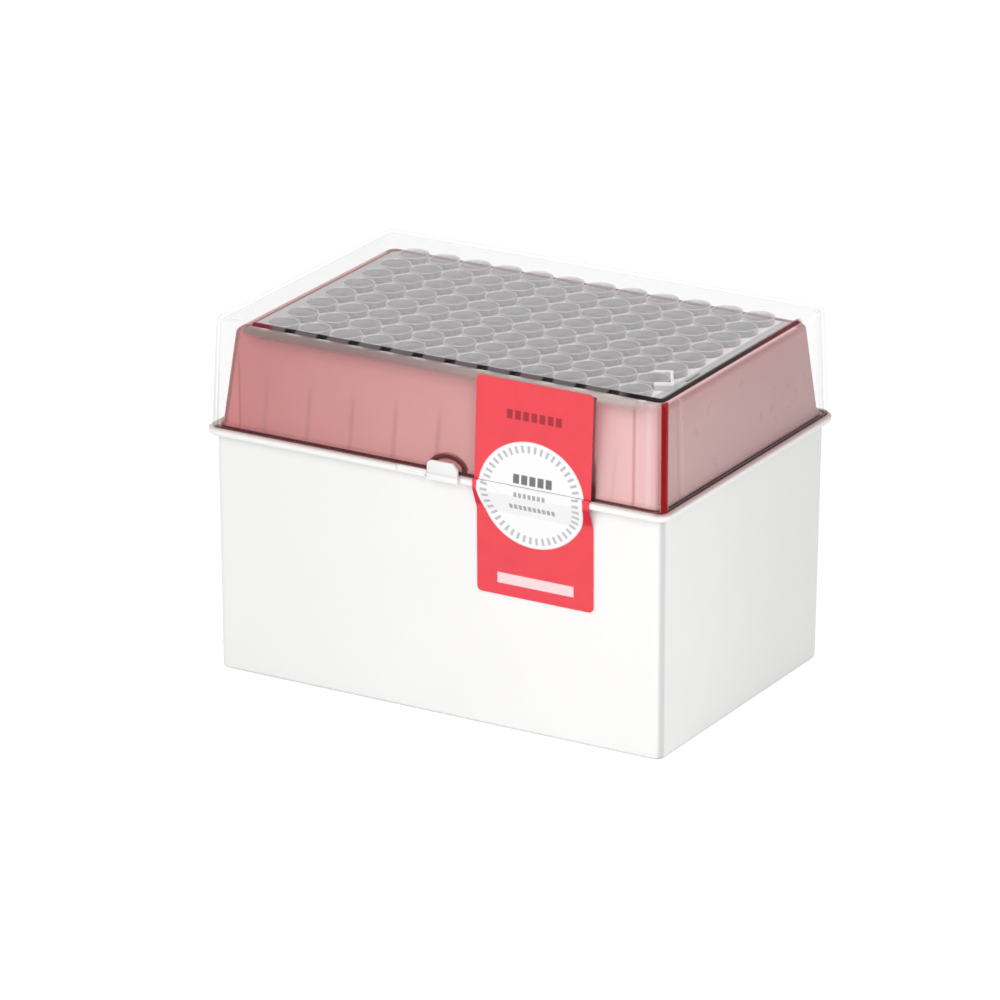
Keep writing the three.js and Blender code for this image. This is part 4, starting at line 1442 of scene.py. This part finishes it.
@dataclass
class TipPlate:
    """The punched plate with its key bracket, and the 96 capillaries with their pistons."""

    outline: Level = Level(88.8, 57.85, 35.95, 1.6)
    thickness: float = 2.4
    columns: int = 12
    rows: int = 8
    pitch: float = 9.0
    hole: float = 3.1
    key_row: int = 1
    key_turn: float = math.pi / 6
    key_reach: Pair = (4.1, 4.9)
    key_heights: Pair = (87.6, 90.75)
    slot_row: int = 2
    slot: tuple[float, float, float] = (55.45, 0.9, 7.2)
    tip_sides: int = 20
    capillary: tuple[Pair, ...] = (
        (0.8, 14.4), (2.6, 48.4), (2.6, 88.85), (4.0, 88.85), (4.15, 90.3), (4.12, 90.52), (4.05, 90.6),
        (3.85, 90.6), (3.75, 90.4), (3.6, 89.1), (1.75, 89.0), (1.75, 50.0), (0.35, 14.4),
    )
    piston: tuple[Pair, ...] = (
        (0.25, 16.0), (1.3, 48.0), (1.3, 90.1), (3.65, 90.1), (3.65, 90.25), (3.6, 90.35), (1.5, 90.35),
        (1.3, 90.3),
    )

    def place(self, column: int, row: int) -> tuple[float, float, float]:
        """How far a tip stands from the axis."""
        middle_x, middle_y = (self.columns - 1) / 2, (self.rows - 1) / 2
        return (column - middle_x) * self.pitch, (row - middle_y) * self.pitch, 0.0

    def sheet(self) -> Piece:
        """The plate with its holes and the grip slot."""
        top, low = self.outline.z, self.outline.z - self.thickness
        sheet = Piece.loft("plate_sheet", [replace(self.outline, z=low), self.outline])
        sheet.soften(0.2)
        hole = Piece.rod("hole", (0, 0, low + self.thickness / 2), self.hole, self.thickness * 2,
                         sides=self.tip_sides)
        holes = [hole.copy("hole_copy", self.place(column, row))
                 for row in range(self.rows) for column in range(self.columns)]
        x, width, length = self.slot
        y = self.place(0, self.slot_row)[1]
        slot = Piece.block("grip_slot", (x - width / 2, y - length / 2, low - 1),
                           (x + width / 2, y + length / 2, top + 1))
        hole.absorb([*holes, slot])
        with hole.editing("VERT"):
            hole.pick(lambda point: Vector(point[:2]).length < self.hole + 0.1)
            bpy.ops.mesh.delete(type="VERT")
        sheet.combine(hole, Join.CUT)
        return sheet

    def key(self) -> Piece:
        """The raised bracket round one collar at the right end: a bar with its ends drawn out into arms."""
        (inner, outer), (low, top) = self.key_reach, self.key_heights
        key = Piece.block("key_bracket", (inner, -outer, low), (outer, outer, top))
        with key.editing("FACE"):
            for cut in (-inner, inner):
                bpy.ops.mesh.select_all(action="SELECT")
                bpy.ops.mesh.bisect(plane_co=at(0, cut, 0), plane_no=(0, 1, 0))
            key.pick(lambda point: point.x < inner + 0.01 and abs(point.y) > inner, faces=True)
            bpy.ops.mesh.extrude_region_move(TRANSFORM_OT_translate={"value": (-inner * MM, 0, 0)})
        key.close()
        key.soften(0.15)
        shift = [step * MM for step in self.place(self.columns - 1, self.key_row)]
        with key.editing("VERT"):
            bpy.ops.mesh.select_all(action="SELECT")
            bpy.ops.transform.rotate(value=-self.key_turn, orient_axis="Z", center_override=at(0, 0, 0))
            bpy.ops.transform.translate(value=shift)
        return key

    def tips(self, name: str, profile: Sequence[Pair], hollow: bool, finish: bpy.types.Material) -> None:
        """Turns one tip piece, stands a copy at every place, and dresses each row as one piece.

        Args:
            name: the pieces' name.
            profile: radius and height of each ring.
            hollow: whether the profile closes on itself.
            finish: their finish.
        """
        model = Piece.turned(name, profile, self.tip_sides, hollow)
        model.close()
        for row in range(self.rows):
            first, *others = (model.copy(f"{name}_row_{row + 1}", self.place(column, row))
                              for column in range(self.columns))
            first.absorb(others)
            first.dress(finish, Role.PLATE, Body.BOX)
        model.remove()

    def build(self, plate: bpy.types.Material, key: bpy.types.Material, clear: bpy.types.Material,
              grey: bpy.types.Material) -> None:
        """Builds and dresses the plate and the tips.

        Args:
            plate: the plate's finish.
            key: the key bracket's finish.
            clear: the capillaries' finish.
            grey: the pistons' finish.
        """
        self.sheet().dress(plate, Role.PLATE, Body.BOX, "tip_plate")
        self.key().dress(key, Role.PLATE, Body.BOX)
        self.tips("capillaries", self.capillary, True, clear)
        self.tips("pistons", self.piston, False, grey)


# ---- Lid -----------------------------------------------------------------------------------------


@dataclass
class ClearLid:
    """The clear lid: a drafted, round-edged shell with two hinge arms and their pins."""

    foot: Level = Level(64.4, 64.0, 43.6, 2.4)
    top_z: float = 92.8
    draft: Pair = (0.8, 1.2)
    round: float = 1.8
    wall: float = 1.0
    hinge: Pair = (47.2, 65.0)
    arm_radius: float = 2.3
    arm_width: float = 8.0
    arm_places: Pair = (-38.0, 38.0)
    web: Pair = (43.1, 64.5)
    pin: Pair = (1.25, 14.6)

    def shell(self) -> Piece:
        """The shell, lofted from the ceiling down the inside, round the foot and up the outside."""
        foot, z = self.foot, self.top_z - self.round
        share = (z - foot.z) / (self.top_z - foot.z)
        lean_x, lean_y = (share * draft for draft in self.draft)
        shoulder = Level(z, foot.half_x - lean_x, foot.half_y - lean_y, foot.corner)
        inside = shoulder.inset(self.wall, z)
        ceiling = rounding(inside, self.round - self.wall, 5)
        return Piece.loft("lid_shell", [
            *reversed(ceiling), inside, foot.inset(self.wall, foot.z), foot, shoulder,
            *rounding(shoulder, self.round, 8),
        ])

    def arm(self) -> Piece:
        """One hinge arm over the box's middle: an eye round the pin, on a web from the lid's wall."""
        back, up = self.hinge
        half = self.arm_width / 2
        arm = Piece.rod("hinge_arm", (0, back, up), self.arm_radius, self.arm_width, Axis.X, 32)
        arm.combine(Piece.block("arm_web", (-half, *self.web), (half, back, up + self.arm_radius - 0.05)),
                    Join.ADD)
        pin = Piece.rod("hinge_pin", (0, back, up), *self.pin, Axis.X)
        pin.soften(0.2)
        arm.combine(pin, Join.ADD)
        return arm

    def build(self, finish: bpy.types.Material) -> None:
        """Builds and dresses the lid."""
        shell, arm = self.shell(), self.arm()
        for place in self.arm_places:
            shell.combine(arm.copy("arm_copy", (place, 0, 0)), Join.ADD)
        arm.remove()
        shell.close()
        shell.dress(finish, Role.LID, Body.LID, "clear_lid")


# ---- Seal label ----------------------------------------------------------------------------------


@dataclass
class SealLabel:
    """The printed film in two halves, which keep the frame's own shapes."""

    halves: tuple[str, str] = ("seal_label_upper", "seal_label_lower")

    def build(self, finish: bpy.types.Material) -> None:
        """Dresses both halves."""
        for name in self.halves:
            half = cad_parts[name]
            if not half.material_slots:
                half.data.materials.append(finish)
            for slot in half.material_slots:
                slot.material = finish
            LOG.info("%s: printed film on the frame's own shape", name)


# ---- Studio --------------------------------------------------------------------------------------


@dataclass
class Lamp:
    """A square softbox: where it hangs from the target, the side of its square, and its power."""

    name: str
    place: tuple[float, float, float]
    size: float
    watts: float


@dataclass
class Studio:
    """The floor, the lamps, the pale surroundings and the camera, in metres and degrees."""

    target: tuple[float, float, float] = (-0.004536, -0.004802, 0.042902)
    distance: float = 1.779
    azimuth: float = 29.84
    elevation: float = 19.90
    roll: float = 0.21
    lens: float = 257.1
    ambient: float = 0.62
    floor_glow: float = 0.34
    lamps: tuple[Lamp, ...] = (
        Lamp("key_softbox", (0.1, -1.6, 1.5), 1.1, 13.2),
        Lamp("fill_softbox", (0.62, -0.72, 0.5), 0.5, 2.0),
        Lamp("top_softbox", (0.1, 0.5, 1.9), 1.2, 8.0),
    )

    def camera(self) -> None:
        """Puts the camera at its angle, looking at the target."""
        turn, lift, tilt = (math.radians(v) for v in (self.azimuth, self.elevation, self.roll))
        back = Vector((math.sin(turn) * math.cos(lift), -math.cos(turn) * math.cos(lift), math.sin(lift)))
        level = (-back).cross(Vector((0, 0, 1))).normalized()
        upright = level.cross(-back)
        right = level * math.cos(tilt) + upright * math.sin(tilt)
        upward = upright * math.cos(tilt) - level * math.sin(tilt)
        data = bpy.data.cameras.new("camera")
        data.lens, data.sensor_width, data.sensor_fit = self.lens, 36.0, "HORIZONTAL"
        data.clip_start, data.clip_end = 0.1, 20.0
        camera = bpy.data.objects.new("camera", data)
        bpy.context.scene.collection.objects.link(camera)
        stand = Vector(self.target) + back * self.distance
        turned = Matrix((right, upward, back)).transposed().to_4x4()
        camera.matrix_world = Matrix.Translation(stand) @ turned
        bpy.context.scene.camera = camera

    def hang(self, lamp: Lamp) -> None:
        """Hangs a softbox so that it faces the target."""
        data = bpy.data.lights.new(lamp.name, "AREA")
        data.shape, data.size, data.energy = "SQUARE", lamp.size, lamp.watts
        made = bpy.data.objects.new(lamp.name, data)
        bpy.context.scene.collection.objects.link(made)
        place = Vector(lamp.place)
        made.location = Vector(self.target) + place
        made.rotation_euler = (-place).to_track_quat("-Z", "Y").to_euler()

    @staticmethod
    def seen_rays(nodes: bpy.types.Nodes, links: bpy.types.NodeLinks) -> Socket:
        """Where a ray comes from the camera, or mirrored or sent on by a clear piece."""
        rays = nodes.new("ShaderNodeLightPath")
        result = rays.outputs["Is Camera Ray"]
        for kind in ("Is Glossy Ray", "Is Transmission Ray"):
            either = nodes.new("ShaderNodeMath")
            either.operation = "MAXIMUM"
            links.new(result, either.inputs[0])
            links.new(rays.outputs[kind], either.inputs[1])
            result = either.outputs[0]
        return result

    def surroundings(self) -> None:
        """A pale world that looks white to the camera and through or in the clear pieces."""
        world = bpy.data.worlds.new("surroundings")
        bpy.context.scene.world = world
        world.use_nodes = True
        nodes, links = world.node_tree.nodes, world.node_tree.links
        nodes.clear()
        strength = nodes.new("ShaderNodeMapRange")
        links.new(self.seen_rays(nodes, links), strength.inputs["Value"])
        strength.inputs["To Min"].default_value, strength.inputs["To Max"].default_value = self.ambient, 1.0
        background = nodes.new("ShaderNodeBackground")
        background.inputs["Color"].default_value = (1, 1, 1, 1)
        links.new(strength.outputs[0], background.inputs["Strength"])
        links.new(background.outputs[0], nodes.new("ShaderNodeOutputWorld").inputs[0])

    def floor(self) -> None:
        """A pale floor that stays white away from the object and keeps its soft shadow."""
        bpy.ops.object.select_all(action="DESELECT")
        bpy.ops.mesh.primitive_plane_add(size=12.0, location=(0, 0, 0))
        floor = bpy.context.object
        floor.name = "floor"
        graph = Graph("floor_paper")
        paper = graph.node("ShaderNodeBsdfDiffuse")
        cloud = graph.mix(graph.noise(400.0), (0.80, 0.80, 0.80), (0.84, 0.84, 0.84))
        graph.feed(paper.inputs["Color"], cloud)
        glow = graph.node("ShaderNodeEmission")
        glow.inputs["Color"].default_value = (1, 1, 1, 1)
        seen = self.seen_rays(graph.tree.nodes, graph.tree.links)
        graph.feed(glow.inputs["Strength"], graph.math("MULTIPLY", seen, self.floor_glow))
        join = graph.node("ShaderNodeAddShader")
        graph.feed(join.inputs[0], paper.outputs[0])
        graph.feed(join.inputs[1], glow.outputs[0])
        floor.data.materials.append(graph.output(join.outputs[0]))

    def build(self) -> None:
        """Sets the whole studio."""
        self.camera()
        self.surroundings()
        self.floor()
        for lamp in self.lamps:
            self.hang(lamp)


def main() -> None:
    """Builds the pieces in order and reports each one."""
    logging.basicConfig(level=logging.INFO, format="%(message)s")
    scene = bpy.context.scene
    scene.view_settings.view_transform = "Standard"
    scene.cycles.transparent_max_bounces = 32
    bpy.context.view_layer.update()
    Studio().build()
    BaseBox().build(BasePlastic().material())
    TipTray().build(TintedPlastic().material())
    TipPlate().build(PlatePlastic().material(), KeyPlastic().material(), CapillaryPlastic().material(),
                    PistonPlastic().material())
    ClearLid().build(LidPlastic().material())
    SealLabel().build(LabelFilm().material())


if __name__ == "__main__":
    main()
